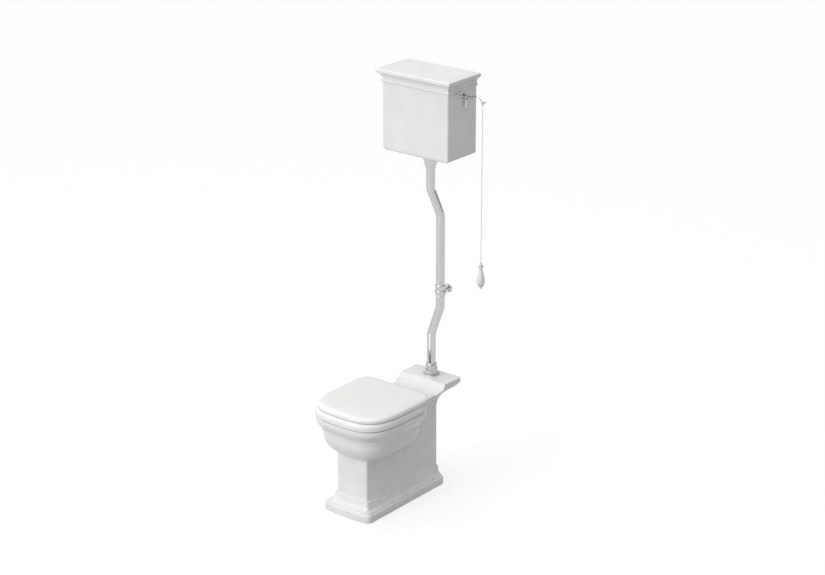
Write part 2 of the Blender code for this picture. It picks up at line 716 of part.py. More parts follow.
def build_seat(look, rubber):
    bottom, thick = SEAT_BOTTOM, SEAT_THICKNESS
    outside = [(0.008, 0.0), (0.001, 0.0035), (0.0, 0.008), (0.001, 0.017)]
    outside += [(0.005, thick - 0.004), (0.014, thick)]
    inside = [(0.018, thick - 0.001), (0.002, thick - 0.009), (0.0, 0.010), (0.008, 0.0)]
    rings = [seat_outline(bottom + rise, inset) for inset, rise in outside]
    rings += [seat_opening(bottom + rise, inset) for inset, rise in inside]
    seat = loft("seat", rings, look, closed=True)
    cut_seat_clearance(seat, look)
    add_knuckles(seat, -1, HINGE_Z - 0.0045, HINGE_Z + 0.0045, HINGE_Y - 0.018, look)
    cut(seat, rod_hole("seat_rod_hole", look))
    hinge = pivot_at("seat_hinge", (0, HINGE_Y, HINGE_Z))
    seated = bottom + 0.003
    pocket = rod(SEAT_BUFFER_RADIUS + GAP, bottom - 0.01, seated)
    pad = rod(SEAT_BUFFER_RADIUS, RIM_TOP + GAP, seated - GAP, 0.0008)
    for place, (x, y) in buffer_places(0.72).items():
        cut(seat, turned(f"seat_buffer_pocket_{place}", pocket, look, (x, y, 0)))
        hang(turned(f"seat_buffer_{place}", pad, rubber, (x, y, 0), steps=SMALL), hinge)
    hang(seat, hinge)


def cover_outline(z, inset):
    front = SEAT_FRONT_LENGTH - COVER_FRONT_INSET
    rear = HINGE_Y + 0.007 - RIM_CENTRE_Y
    size = SEAT_HALF_WIDTH - COVER_INSET - inset, front - inset, rear - 0.5 * inset
    return superellipse(z, RIM_CENTRE_Y, *size, (3.4, 8.0))


def build_cover(look, rubber):
    bottom, thick = COVER_BOTTOM, COVER_THICKNESS
    edge = [(0.006, 0.0), (0.0, 0.003), (0.001, 0.009), (0.005, 0.0155), (0.011, 0.0195)]
    edge += [(0.022, thick - 0.001), (0.070, thick)]
    cover = loft("cover", [cover_outline(bottom + rise, inset) for inset, rise in edge], look)
    add_knuckles(cover, 1, HINGE_Z, bottom + 0.004, HINGE_Y - 0.006, look)
    cut(cover, rod_hole("cover_rod_hole", look))
    hinge = pivot_at("cover_hinge", (0, HINGE_Y, HINGE_Z))
    seated = bottom + 0.002
    pocket = rod(COVER_BUFFER_RADIUS + GAP, bottom - 0.01, seated)
    pad = rod(COVER_BUFFER_RADIUS, SEAT_TOP + GAP, seated - GAP, 0.0006)
    places = buffer_places(0.80)
    for side in ("left", "right"):
        x, y = places[f"front_{side}"]
        cut(cover, turned(f"cover_buffer_pocket_{side}", pocket, look, (x * 0.97, y, 0)))
        hang(turned(f"cover_buffer_{side}", pad, rubber, (x * 0.97, y, 0), steps=SMALL), hinge)
    hang(cover, hinge)


def build_hinge(chrome, rubber):
    """A rod through both pairs of knuckles, held by two posts. A cone-headed bolt under each post draws its
    bush wide under the deck."""
    axle = (0, HINGE_Y, HINGE_Z)
    half = HINGE_POST_WIDTH / 2
    reach = HINGE_HALF_SPACING + half + HINGE_KNUCKLE_WIDTH + 0.0035
    turned("hinge_rod", rod(HINGE_ROD_RADIUS, -reach, reach, 0.0008), chrome, axle, "X", SMALL)
    base = [(0, RIM_TOP + GAP), (0.0135, RIM_TOP + GAP), (0.0135, RIM_TOP + 0.0025)]
    base += [(0.0105, RIM_TOP + 0.0045), (0.0075, RIM_TOP + 0.006), (0.0065, HINGE_Z - 0.006)]
    base += [(0.0065, HINGE_Z), (0, HINGE_Z)]
    eye = rod(HINGE_EYE_RADIUS, -half, half, 0.001)
    foot, bore = RIM_TOP - HINGE_HOLE_DEPTH + 0.003, HINGE_HOLE_RADIUS - GAP
    wide = bore - 0.0006
    cone = [(0, foot), (wide, foot), (wide, foot + 0.003), (HINGE_BOLT_RADIUS, foot + 0.0135)]
    cone += [(HINGE_BOLT_RADIUS, RIM_TOP), (0, RIM_TOP)]
    sleeve = tube(HINGE_BOLT_RADIUS + GAP, bore, foot + 0.014, RIM_TOP, 0.0008)
    for side, sign in (("left", -1), ("right", 1)):
        x = sign * HINGE_HALF_SPACING
        post = turned(f"hinge_post_{side}", base, chrome, (x, HINGE_Y, 0))
        join(post, turned(f"post_eye_{side}", eye, chrome, (x, HINGE_Y, HINGE_Z), "X"))
        cut(post, rod_hole(f"post_bore_{side}", chrome))
        turned(f"hinge_bolt_{side}", cone, chrome, (x, HINGE_Y, 0))
        turned(f"hinge_bush_{side}", sleeve, rubber, (x, HINGE_Y, 0), steps=SMALL)


# ------------------------------------------------------------------ flush pipe


def pipe_middle(z):
    return (PIPE_MIDDLE_X, PIPE_MIDDLE_Y, z)


def lower_pipe_path():
    """Up from the pan's socket, over by an S bend, and straight up to the collar."""
    corners = [
        (0, PIPE_INLET_Y, PLATFORM_TOP - SOCKET_DEPTH * 0.8),
        (0, PIPE_INLET_Y, PIPE_LOWER_BEND_FOOT),
        pipe_middle(PIPE_LOWER_BEND_HEAD),
        pipe_middle(COLLAR_HEIGHT - GAP),
    ]
    return rounded_path(corners, PIPE_BEND_RADIUS, 5)


def upper_pipe_path():
    """Straight up from the collar, back under the cistern's outlet by an S bend, and into the union."""
    corners = [
        pipe_middle(COLLAR_HEIGHT + GAP),
        pipe_middle(PIPE_UPPER_BEND_FOOT),
        (0, OUTLET_Y, PIPE_UPPER_BEND_HEAD),
        (0, OUTLET_Y, CISTERN_BOTTOM - TAIL_LENGTH - 0.0015),
    ]
    return rounded_path(corners, PIPE_BEND_RADIUS, 5)


def build_pipe(chrome, rubber):
    inner = PIPE_RADIUS - PIPE_WALL
    swept("flush_pipe_lower", lower_pipe_path(), PIPE_RADIUS, chrome, inner)
    swept("flush_pipe_upper", upper_pipe_path(), PIPE_RADIUS, chrome, inner)

    half = COLLAR_LENGTH / 2
    bore, outer = PIPE_RADIUS + GAP, PIPE_RADIUS + COLLAR_WALL
    bead = [(outer + 0.0012 * sin(pi * i / 3), half - 0.006 + 0.006 * i / 3) for i in range(4)]
    mirrored = [(radius, -height) for radius, height in reversed(bead)]
    collar = [(bore, -half), *mirrored, *bead, (bore, half), (bore, -half)]
    turned("slip_collar", collar, chrome, pipe_middle(COLLAR_HEIGHT), steps=FINE)
    build_inlet(chrome, rubber, (0, PIPE_INLET_Y, 0))


def build_inlet(chrome, rubber, place):
    """Where the pipe enters the pan: a seal in the socket, a flange over it and a nut on the flange."""
    bore = PIPE_RADIUS + GAP
    seal_low, seal_high = PLATFORM_TOP - SOCKET_DEPTH + 0.004, PLATFORM_TOP - GAP
    outer = SOCKET_RADIUS - GAP
    seal = [(bore, seal_low), (outer - 0.0019, seal_low), (outer, seal_high - 0.0057), (outer, seal_high)]
    seal += [(bore, seal_high)]
    turned("inlet_seal", seal + seal[:1], rubber, place, steps=FINE)
    low = PLATFORM_TOP + GAP
    top = low + FLANGE_THICKNESS
    flange = [(bore, low), (FLANGE_RADIUS, low), (FLANGE_RADIUS, low + 0.002)]
    flange += [(FLANGE_RADIUS - 0.0015, top - 0.0014), (PIPE_RADIUS + 0.010, top), (bore, top)]
    turned("inlet_flange", flange + flange[:1], chrome, place, steps=FINE)
    foot, head = top + GAP, top + GAP + INLET_NUT_HEIGHT
    crown = PIPE_RADIUS + 0.004
    nut = hexagon("inlet_nut", 2 * PIPE_RADIUS + 0.0135, foot, head, chrome, place, crown=crown)
    cut(nut, turned("inlet_nut_bore", rod(bore, foot - 0.01, head + 0.01), chrome, place, steps=FINE))


def build_clip(chrome):
    """A split ring round the collar, on a stem from the wall rosette."""
    z = COLLAR_HEIGHT - CLIP_DROP
    inner = PIPE_RADIUS + COLLAR_WALL + GAP
    outer = inner + CLIP_THICKNESS
    ring = turned("pipe_clip", tube(inner, outer, -0.006, 0.006, 0.0006), chrome, pipe_middle(z), steps=FINE)
    x, y = PIPE_MIDDLE_X, PIPE_MIDDLE_Y
    lug = (x + inner + 0.001, y - 0.0035, z - 0.005), (x + inner + 0.010, y + 0.0035, z + 0.005)
    join(ring, box("clip_lug", *lug, chrome, 0.001))
    middle = (x + inner + 0.006, y, z)
    cut(ring, turned("clip_hole", rod(CLIP_SCREW_RADIUS + GAP, -0.01, 0.01), chrome, middle, "Y", SMALL))
    turned("clip_screw", rod(CLIP_SCREW_RADIUS, -0.0045, 0.0045), chrome, middle, "Y", SMALL)
    seat = WALL_Y - 0.0072
    turned("clip_stem", rod(0.005, y + outer + GAP, seat - GAP), chrome, (x, 0, z), "Y", SMALL)
    dome = [(0, seat), (0.0053, seat), (0.0053, WALL_Y - 0.009), (0.010, WALL_Y - 0.0088)]
    dome += [(0.0165, WALL_Y - 0.006), (ROSETTE_RADIUS, WALL_Y - 0.0025)]
    dome += [(ROSETTE_RADIUS, WALL_Y), (0, WALL_Y)]
    turned("wall_rosette", dome, chrome, (x, 0, z), "Y", FINE)


# ------------------------------------------------------------------ cistern


def cistern_shell(china):
    """The tank, its lower edges rounded and its inside open to the top."""
    half, front, wall = CISTERN_HALF_WIDTH, CISTERN_FRONT_Y, CISTERN_WALL
    rounding = 0.014
    outside = []
    for turn in (pi / 2 * i / 4 for i in range(5)):
        inset = rounding * (1 - sin(turn))
        z = CISTERN_BOTTOM + rounding * (1 - cos(turn))
        outside.append(rectangle(z, half - inset, front + inset * 0.4, WALL_Y, 0.007))
    outside.append(rectangle(CISTERN_TOP - GAP, half, front, WALL_Y, 0.007))
    body = loft("cistern_body", outside, china)
    inside = []
    for rise, round_off in ((0.0, 0.008), (0.008, 0.0), (CISTERN_HEIGHT, 0.0)):
        inset = wall + round_off
        inside.append(rectangle(CISTERN_FLOOR + rise, half - inset, front + inset, WALL_Y - inset, 0.008))
    cut(body, loft("cistern_inside", inside, china))
    return body


def build_cistern(china, chrome, rubber):
    body = cistern_shell(china)
    half = CISTERN_HALF_WIDTH
    outlet = rod(TAIL_RADIUS + 0.0015, CISTERN_BOTTOM - 0.01, CISTERN_FLOOR + 0.01)
    inlet = rod(SHANK_RADIUS + 0.001, -half - 0.01, -half + CISTERN_WALL + 0.01)
    slot = (
        (half - CISTERN_WALL - 0.01, LEVER_Y - 0.007, FULCRUM_Z + LEVER_SLOT_LOW),
        (half + 0.01, LEVER_Y + 0.007, FULCRUM_Z + LEVER_SLOT_HIGH),
    )
    cut(
        body,
        turned("outlet_hole", outlet, china, (0, OUTLET_Y, 0), steps=FINE),
        turned("inlet_hole", inlet, china, (0, VALVE_Y, CISTERN_TOP - VALVE_DROP), "X"),
        box("lever_slot", *slot, china),
    )
    shank = WALL_SCREW_RADIUS
    hole = rod(shank + 0.0008, WALL_Y - CISTERN_WALL - 0.01, WALL_Y + 0.01)
    face = WALL_Y - CISTERN_WALL - GAP
    washer = tube(shank + 0.0005, 0.0105, face - WASHER_THICKNESS, face)
    head = face - WASHER_THICKNESS - GAP
    screw = [(0, head - 0.004), (0.0045, head - 0.004), (0.0072, head - 0.002), (0.0072, head), (shank, head)]
    screw += [(shank, WALL_Y), (0, WALL_Y)]
    for side, sign in (("left", -1), ("right", 1)):
        place = (sign * WALL_SCREW_HALF_SPACING, 0, CISTERN_TOP - WALL_SCREW_DROP)
        cut(body, turned(f"wall_hole_{side}", hole, china, place, "Y", SMALL))
        turned(f"wall_screw_washer_{side}", washer, rubber, place, "Y")
        turned(f"wall_screw_{side}", screw, chrome, place, "Y", SMALL)


def build_union(chrome, plastic):
    """The nut that clamps the siphon under the cistern, and the flared union from its tail to the pipe."""
    place = (0, OUTLET_Y, 0)
    grip, bore = TAIL_RADIUS + GAP, PIPE_RADIUS + GAP
    nut_top = CISTERN_BOTTOM - GAP
    back_nut = hexagon("siphon_back_nut", 0.062, nut_top - BACK_NUT_THICKNESS, nut_top, plastic, place)
    thread = rod(grip, nut_top - BACK_NUT_THICKNESS - 0.01, nut_top + 0.01)
    cut(back_nut, turned("back_nut_bore", thread, plastic, place, steps=FINE))
    top = CISTERN_BOTTOM - UNION_TOP_DROP
    foot, tail_end = top - UNION_HEIGHT, CISTERN_BOTTOM - TAIL_LENGTH
    cup = [(grip, top), (UNION_RADIUS - 0.001, top), (UNION_RADIUS, top - 0.001), (UNION_RADIUS, top - 0.016)]
    cup += [(UNION_RADIUS - 0.0015, top - 0.022), (PIPE_RADIUS + 0.007, top - 0.034)]
    cup += [(PIPE_RADIUS + 0.0028, foot + 0.010), (PIPE_RADIUS + 0.0024, foot), (bore, foot)]
    cup += [(bore, tail_end - 0.006), (grip, tail_end - 0.002), (grip, top)]
    turned("union_nut", cup, chrome, place, steps=FINE)


def build_lid(china):
    """A lid with a cornice all round but for its back, which stays flat against the wall."""
    half, front = CISTERN_HALF_WIDTH, CISTERN_FRONT_Y
    lip_inset = CISTERN_WALL + 0.0012

    def ring(z, out):
        return rectangle(z, half + out, front - out, WALL_Y + min(0.0, out), 0.004)

    # Height over the tank, and how far the moulding stands out from it: bead, cove, fillet and fascia
    profile = [(0.0, 0.003)]
    for turn in (pi * i / 4 for i in range(1, 5)):
        profile.append((0.0045 - 0.0045 * cos(turn), 0.003 + 0.003 * sin(turn)))
    profile += [(0.0095, 0.002), (0.0125, 0.002)]
    cove_rise, cove_out = LID_HEIGHT - 0.0305, LID_OVERHANG - 0.006
    for turn in (pi / 2 * i / 6 for i in range(1, 7)):
        profile.append((0.0125 + cove_rise * sin(turn), 0.002 + cove_out * (1 - cos(turn))))
    fillet = 0.0125 + cove_rise + 0.003
    profile += [(fillet, LID_OVERHANG - 0.0035), (fillet + 0.0002, LID_OVERHANG - 0.0008)]
    profile += [(fillet + 0.0015, LID_OVERHANG), (LID_HEIGHT - 0.003, LID_OVERHANG)]
    profile += [(LID_HEIGHT - 0.0008, LID_OVERHANG - 0.001), (LID_HEIGHT, LID_OVERHANG - 0.003)]
    rings = [ring(CISTERN_TOP - LID_SPIGOT, -lip_inset), ring(CISTERN_TOP - 0.0001, -lip_inset)]
    rings += [ring(CISTERN_TOP + rise, out) for rise, out in profile]
    lid = loft("cistern_lid", rings, china)
    inner = lip_inset + 0.006
    hollow = [ring(CISTERN_TOP - 0.02, -inner), ring(LID_TOP - LID_WALL, -inner)]
    cut(lid, loft("lid_inside", hollow, china))


# ------------------------------------------------------------------ siphon


def siphon_levels():
    """Heights of the siphon's washer, flange, bell mouth and bell top, and of the spring of its crown."""
    washer = CISTERN_FLOOR + GAP
    flange = washer + SEALING_THICKNESS + GAP
    spring = CROWN_TOP - CHAMBER_X / 2 - SIPHON_LEG_RADIUS
    return washer, flange, flange + 0.004, spring - 0.012, spring


def crown_path(leg_foot, bell_foot):
    """Up the downleg, over the crown in a half circle, and down into the bell."""
    spring = siphon_levels()[4]
    half = CHAMBER_X / 2
    turns = [pi * i / 8 for i in range(9)]
    arch = [(half - half * cos(turn), OUTLET_Y, spring + half * sin(turn)) for turn in turns]
    return [(0, OUTLET_Y, leg_foot), *arch, (CHAMBER_X, OUTLET_Y, bell_foot)]


def build_siphon(plastic, rubber, brass):
    """A bell beside a downleg, joined over a crown, and the plunger that lifts water through it."""
    leg, room = SIPHON_LEG_RADIUS, CHAMBER_RADIUS - SIPHON_WALL
    washer, flange, bell_low, bell_high, spring = siphon_levels()
    tail_end = CISTERN_BOTTOM - TAIL_LENGTH
    outlet, centre = (0, OUTLET_Y, 0), (CHAMBER_X, OUTLET_Y, 0)
    seal = tube(TAIL_RADIUS + GAP, SIPHON_FLANGE_RADIUS, washer, washer + SEALING_THICKNESS)
    turned("siphon_washer", seal, rubber, outlet, steps=FINE)
    rim = SIPHON_FLANGE_RADIUS - 0.001
    tail = [(0, tail_end), (TAIL_RADIUS, tail_end), (TAIL_RADIUS, flange), (rim, flange)]
    tail += [(rim, flange + 0.005), (leg - 0.001, flange + 0.010), (0, flange + 0.010)]
    siphon = turned("siphon_body", tail, plastic, outlet, steps=FINE)
    bell = [(0, bell_low), (CHAMBER_RADIUS, bell_low), (CHAMBER_RADIUS, bell_high - 0.012)]
    bell += [(leg - 0.002, bell_high), (0, bell_high)]
    join(
        siphon,
        swept("siphon_crown", crown_path(tail_end + 0.02, spring - 0.02), leg, plastic, steps=SMALL),
        turned("siphon_bell", bell, plastic, centre, steps=FINE),
    )
    hollow_top = bell_high - 0.006
    hollow = [(0, bell_low - 0.02), (room, bell_low - 0.02), (room, hollow_top - 0.010)]
    hollow += [(leg - SIPHON_WALL - 0.001, hollow_top), (0, hollow_top)]
    bore_path = crown_path(tail_end - 0.01, spring - 0.03)
    cut(
        siphon,
        swept("siphon_bore", bore_path, leg - SIPHON_WALL, plastic, steps=SMALL),
        turned("siphon_room", hollow, plastic, centre, steps=FINE),
        turned("rod_hole", rod(ROD_RADIUS + 0.001, spring, CROWN_TOP + 0.02), plastic, centre, steps=SMALL),
    )
    disc, disc_radius = bell_low + 0.012, room - 0.0012
    rod_top = lift_height() - 0.012
    plunger = [(0, disc), (disc_radius, disc), (disc_radius, disc + 0.003), (ROD_RADIUS, disc + 0.005)]
    plunger += [(ROD_RADIUS, rod_top), (0, rod_top)]
    lift = pivot_at("plunger_slide", centre)
    hang(turned("siphon_plunger", plunger, brass, centre, steps=FINE), lift)
    build_lift_link(brass, rod_top, lift)


def lift_height():
    """How high the lever's inner arm lies over the plunger."""
    return FULCRUM_Z - 0.006


def build_lift_link(brass, rod_top, lift):
    """A stirrup round the lever's inner arm, with the plunger's rod under it and room for the arm to tilt."""
    ceiling = lift_height() + LEVER_RADIUS + 0.0028
    low, high = rod_top + GAP, ceiling + 0.003
    x, y, half = CHAMBER_X, LEVER_Y, LEVER_RADIUS + 0.0045
    outer = (x - 0.004, y - half - 0.002, low), (x + 0.004, y + half + 0.002, high)
    inner = (x - 0.01, y - half, low + 0.0035), (x + 0.01, y + half, ceiling)
    stirrup = box("lift_link", *outer, brass, 0.0012)
    cut(stirrup, box("link_opening", *inner, brass))
    hang(stirrup, lift)


# ------------------------------------------------------------------ lever, chain and handle


def lever_path():
    x, z, reach = FULCRUM_X, FULCRUM_Z, LEVER_REACH
    corners = (
        (CHAMBER_X - 0.010, LEVER_Y, lift_height()),
        (CHAMBER_X + 0.040, LEVER_Y, lift_height()),
        (x - 0.030, LEVER_Y, z + 0.002),
        (x, LEVER_Y, z + 0.001),
        (x + 0.30 * reach, LEVER_Y, z + 0.004),
        (x + 0.70 * reach, LEVER_Y, z + 0.013),
        (x + 0.84 * reach, LEVER_Y, z - 0.001),
        (x + 0.98 * reach, LEVER_Y, z - 0.014),
        (x + 1.12 * reach, LEVER_Y, z - 0.007),
    )
    return rounded_path(corners, 0.020, 3)


def hook_point():
    """The bottom of the lever's hook, where the chain's ring hangs."""
    return min((point for point in lever_path() if point.x > FULCRUM_X), key=lambda point: point.z)


def build_lever(chrome):
    """A curved lever through the slot under the lid, from the chain's hook to the siphon's stirrup."""
    place = (FULCRUM_X, LEVER_Y, FULCRUM_Z)
    path = lever_path()
    lever = swept("pull_lever", path, LEVER_RADIUS, chrome, steps=10)
    eye = turned("lever_eye", rod(LEVER_EYE_RADIUS, -0.0045, 0.0045, 0.0008), chrome, place, "Y")
    join(lever, eye, turned("lever_knob", ball_profile(0.0052, 6), chrome, path[-1], steps=SMALL))
    bore = rod(FULCRUM_PIN_RADIUS + GAP, -0.02, 0.02)
    cut(lever, turned("fulcrum_hole", bore, chrome, place, "Y", SMALL))
    hang(lever, pivot_at("lever_pivot", place))


def build_bracket(chrome):
    """A plate on the cistern's side with a fork for the lever, a turned post under it and a slanting stay."""
    x, y, z = FULCRUM_X, LEVER_Y, FULCRUM_Z
    face = CISTERN_HALF_WIDTH + GAP
    inner, outer = face + 0.001, x + 0.006
    plate_corners = (face, y - 0.011, z - 0.047), (face + 0.0028, y + 0.011, z + LEVER_SLOT_LOW - 0.002)
    plate = box("lever_bracket", *plate_corners, chrome, 0.0009)
    for side, sign in (("front", -1), ("rear", 1)):
        low_y, high_y = between(y + sign * 0.0052, y + sign * 0.0088)
        corners = (inner, low_y, z - 0.014), (outer, high_y, z + 0.0065)
        join(plate, box(f"bracket_cheek_{side}", *corners, chrome, 0.001))
    bridge = (inner, y - 0.007, z - 0.0165), (outer, y + 0.007, z - 0.0105)
    post = [(0, -0.046), (0.003, -0.0455), (0.0048, -0.043), (0.0048, -0.020)]
    post += [(0.0036, -0.018), (0.0036, -0.012), (0, -0.012)]
    near = x - 0.0035
    stay = (near, y - 0.007, z + 0.001), (near, y - 0.024, z + 0.008), (face + 0.0032, y - 0.062, z + 0.021)
    join(
        plate,
        box("bracket_bridge", *bridge, chrome),
        turned("bracket_post", post, chrome, (x, y, z), steps=SMALL),
        swept("bracket_stay", rounded_path(stay, 0.02, 3), 0.0030, chrome, steps=SMALL),
    )
    bore = rod(FULCRUM_PIN_RADIUS + GAP, -0.03, 0.03)
    cut(plate, turned("bracket_bore", bore, chrome, (x, y, z), "Y", SMALL))
    turned("fulcrum_pin", rod(FULCRUM_PIN_RADIUS, -0.0092, 0.0092), chrome, (x, y, z), "Y", SMALL)


def wire_ring(name, place, radius, wire, look, axis):
    """A round ring of wire whose hole faces along the axis."""
    profile = [(radius + wire * cos(tau * i / 8), wire * sin(tau * i / 8)) for i in range(8)]
    return turned(name, profile + profile[:1], look, place, axis, SMALL)


def hanging_levels():
    """Heights down the pull: the ring's middle, the shackle's middle, the chain's top and its foot."""
    hook_z = hook_point().z
    ring_z = hook_z + LEVER_RADIUS + 0.0014 + RING_WIRE - RING_RADIUS
    ring_inside = ring_z - RING_RADIUS + RING_WIRE
    shackle_z = ring_inside + SHACKLE_WIRE + 0.0006 - SHACKLE_RADIUS
    return ring_z, shackle_z, shackle_z - SHACKLE_RADIUS - SHACKLE_WIRE - GAP, hook_z - CHAIN_LENGTH


def build_pull(chrome, china):
    """The ring on the hook, the shackle under it, and the chain with its handle, each on its own pivot."""
    x, y, hook_z = hook_point()
    ring_z, shackle_z, chain_top, chain_foot = hanging_levels()
    hook = pivot_at("chain_ring_pivot", (x, y, hook_z))
    hang(wire_ring("chain_ring", (x, y, ring_z), RING_RADIUS, RING_WIRE, chrome, "X"), hook)
    shackle = wire_ring("chain_shackle", (x, y, shackle_z), SHACKLE_RADIUS, SHACKLE_WIRE, chrome, "Y")
    hang(shackle, pivot_at("shackle_pivot", (x, y, ring_z - RING_RADIUS)))
    chain_pivot = pivot_at("chain_pivot", (x, y, chain_top))
    curve = bpy.data.curves.new("pull_chain", "CURVE")
    curve.dimensions = "3D"
    curve.bevel_depth = CHAIN_RADIUS
    curve.bevel_resolution = 2
    curve.use_fill_caps = True
    spline = curve.splines.new("POLY")
    spline.points.add(CHAIN_POINTS - 1)
    for i, point in enumerate(spline.points):
        share = i / (CHAIN_POINTS - 1)
        point.co = (x, y, chain_top + (chain_foot - chain_top) * share, 1)
    curve.materials.append(chrome)
    chain = bpy.data.objects.new("pull_chain", curve)
    bpy.context.scene.collection.objects.link(chain)
    hang(chain, chain_pivot)
    build_handle(chrome, china, (x, y, chain_foot - GAP), chain_pivot)


def build_handle(chrome, china, place, pivot):
    """A china pear between a chrome ferrule, which the chain enters, and a chrome finial. Heights count down
    from place."""
    low = -FERRULE_LENGTH
    ferrule = [(0, low), (0.0108, low), (0.0108, low + 0.0028), (0.0092, low + 0.005), (0.0042, -0.0075)]
    ferrule += [(0.0034, -0.0055), (0.0046, -0.004), (0.0046, -0.0015), (0.0032, 0), (0, 0)]
    hang(turned("handle_ferrule", ferrule, chrome, place, steps=FINE), pivot)
    top = low - GAP
    end = top - HANDLE_LENGTH
    waist = 0.0078
    pear = [(0, end), (0.0105, end), (0.0125, end + 0.002)]
    for share in (i / 8 for i in range(1, 8)):
        swell = sin(pi * min(1.0, share**0.62 * 1.02)) ** 1.2
        radius = waist + (HANDLE_RADIUS - waist) * swell + 0.0035 * (1 - share) ** 3
        pear.append((radius, end + 0.002 + (HANDLE_LENGTH - 0.012) * share))
    pear += [(0.0082, top - 0.006), (0.0095, top - 0.002), (0.0095, top), (0, top)]
    hang(turned("pull_handle", pear, china, place, steps=FINE), pivot)
    cap = end - GAP
    finial = [(0, cap - FINIAL_LENGTH), (0.0045, cap - 0.0128), (0.0060, cap - 0.010), (0.0052, cap - 0.0075)]
    finial += [(0.0085, cap - 0.006), (0.0115, cap - 0.003), (0.0112, cap), (0, cap)]
    hang(turned("handle_finial", finial, chrome, place, steps=FINE), pivot)


# ------------------------------------------------------------------ inlet valve and float


def build_filling(brass, plastic, rubber):
    """A float valve through the cistern's left side; it closes as the ball lifts the arm."""
    z = CISTERN_TOP - VALVE_DROP
    side = -CISTERN_HALF_WIDTH
    inner_face = side + CISTERN_WALL
    start = inner_face + INLET_WASHER_THICKNESS + 2 * GAP
    end, out = start + VALVE_LENGTH, side - SHANK_OUT
    axis = (0, VALVE_Y, z)
    shape = [(0, out), (SHANK_RADIUS, out), (SHANK_RADIUS, start), (0.0145, start), (0.0145, start + 0.005)]
    shape += [(VALVE_RADIUS, start + 0.006), (VALVE_RADIUS, end - 0.002), (VALVE_RADIUS - 0.002, end)]
    shape += [(0, end)]
    valve = turned("inlet_valve", shape, brass, axis, "X")
    seat_y = VALVE_Y - VALVE_RADIUS
    pin = Vector((end - 0.014, seat_y - 0.009, z - 0.012))
    for name, offset in (("left", -0.0095), ("right", 0.0095)):
        low = (pin.x + offset - 0.002, pin.y - 0.006, pin.z - 0.006)
        high = (pin.x + offset + 0.002, VALVE_Y, z + 0.004)
        join(valve, box(f"valve_lug_{name}", low, high, brass, 0.001))
    outlet = (start + 0.018, VALVE_Y, 0)
    join(valve, turned("valve_outlet", rod(0.0085, z - 0.022, z), brass, outlet, steps=SMALL))
    pin_hole = rod(FLOAT_PIN_RADIUS + GAP, pin.x - 0.026, pin.x + 0.034)
    cut(
        valve,
        turned("valve_bore", rod(0.0055, out - 0.01, end - 0.022), brass, axis, "X", SMALL),
        turned("outlet_bore", rod(0.0064, z - 0.04, z - 0.002), brass, outlet, steps=SMALL),
        turned("piston_bore", rod(0.0046, seat_y - 0.01, seat_y + 0.014), brass, (pin.x, 0, z), "Y", SMALL),
        turned("pin_hole", pin_hole, brass, (0, pin.y, pin.z), "X", SMALL),
    )
    piston = turned(
        "valve_piston", rod(0.0042, seat_y - 0.003, seat_y + 0.009, 0.0005), rubber, (pin.x, 0, z), "Y", SMALL
    )
    hang(piston, pivot_at("piston_slide", (pin.x, seat_y, z)))
    washer_low = inner_face + GAP
    washer = tube(SHANK_RADIUS + GAP, 0.0165, washer_low, washer_low + INLET_WASHER_THICKNESS)
    turned("inlet_washer", washer, rubber, axis, "X")
    nut = hexagon("inlet_back_nut", 0.030, side - 0.0085, side - GAP, plastic, axis, "X")
    thread = rod(SHANK_RADIUS + GAP, side - 0.02, side + 0.01)
    cut(nut, turned("inlet_nut_thread", thread, plastic, axis, "X"))
    pivot_pin = rod(FLOAT_PIN_RADIUS, pin.x - 0.0125, pin.x + 0.0125)
    turned("float_pin", pivot_pin, brass, (0, pin.y, pin.z), "X", SMALL)
    spout = tube(0.0045, 0.0061, CISTERN_FLOOR + 0.030, z - 0.0045)
    turned("fill_tube", spout, plastic, outlet, steps=SMALL)
    build_float(brass, plastic, pin)


def build_float(brass, plastic, pin):
    """The arm hangs at its low stop, as in an empty cistern, with the ball on its end."""
    swing = pivot_at("float_pivot", pin)
    ahead = Vector((0, -cos(FLOAT_ANGLE), -sin(FLOAT_ANGLE)))
    tip = pin + ahead * (FLOAT_ARM_LENGTH - FLOAT_RADIUS)
    arm = swept("float_arm", [pin + ahead * 0.002, tip - ahead * GAP], 0.0028, brass, steps=SMALL)
    join(arm, turned("float_arm_eye", rod(0.0048, -0.0068, 0.0068), brass, pin, "X", SMALL))
    hole = rod(FLOAT_PIN_RADIUS + GAP, -0.02, 0.02)
    cut(arm, turned("float_arm_hole", hole, brass, pin, "X", SMALL))
    hang(arm, swing)
    hang(turned("float_ball", ball_profile(FLOAT_RADIUS, 8), plastic, pin + ahead * FLOAT_ARM_LENGTH), swing)


def main():
    clear_scene()
    china = material("vitreous_china", (0.86, 0.86, 0.85), 0.08)
    resin = material("seat_resin", (0.85, 0.85, 0.84), 0.16)
    chrome = material("chrome", (0.60, 0.60, 0.61), 0.06, 1.0)
    brass = material("brass", (0.60, 0.44, 0.18), 0.25, 1.0)
    rubber = material("rubber", (0.05, 0.05, 0.05), 0.7)
    clear_rubber = material("buffer_rubber", (0.70, 0.70, 0.68), 0.5)
    plastic = material("white_plastic", (0.75, 0.75, 0.73), 0.35)
    build_pan(china)
    floor_fixings(brass, plastic)
    build_seat(resin, clear_rubber)
    build_cover(resin, clear_rubber)
    build_hinge(chrome, rubber)
    build_pipe(chrome, rubber)
    build_clip(chrome)
    build_cistern(china, chrome, rubber)
    build_lid(china)
    build_union(chrome, plastic)
    build_siphon(plastic, rubber, brass)
    build_lever(chrome)
    build_bracket(chrome)
    build_pull(chrome, china)
    build_filling(brass, plastic, rubber)


if __name__ == "__main__":
    main()
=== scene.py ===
"""The visible pieces of a high level toilet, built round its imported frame: china pan and cistern, seat and
cover, chromed flush pipe and lever, link chain and china pull. Metres, +Z up, +Y towards the wall."""

import json
from math import cos, pi, radians, sin, tan, tau

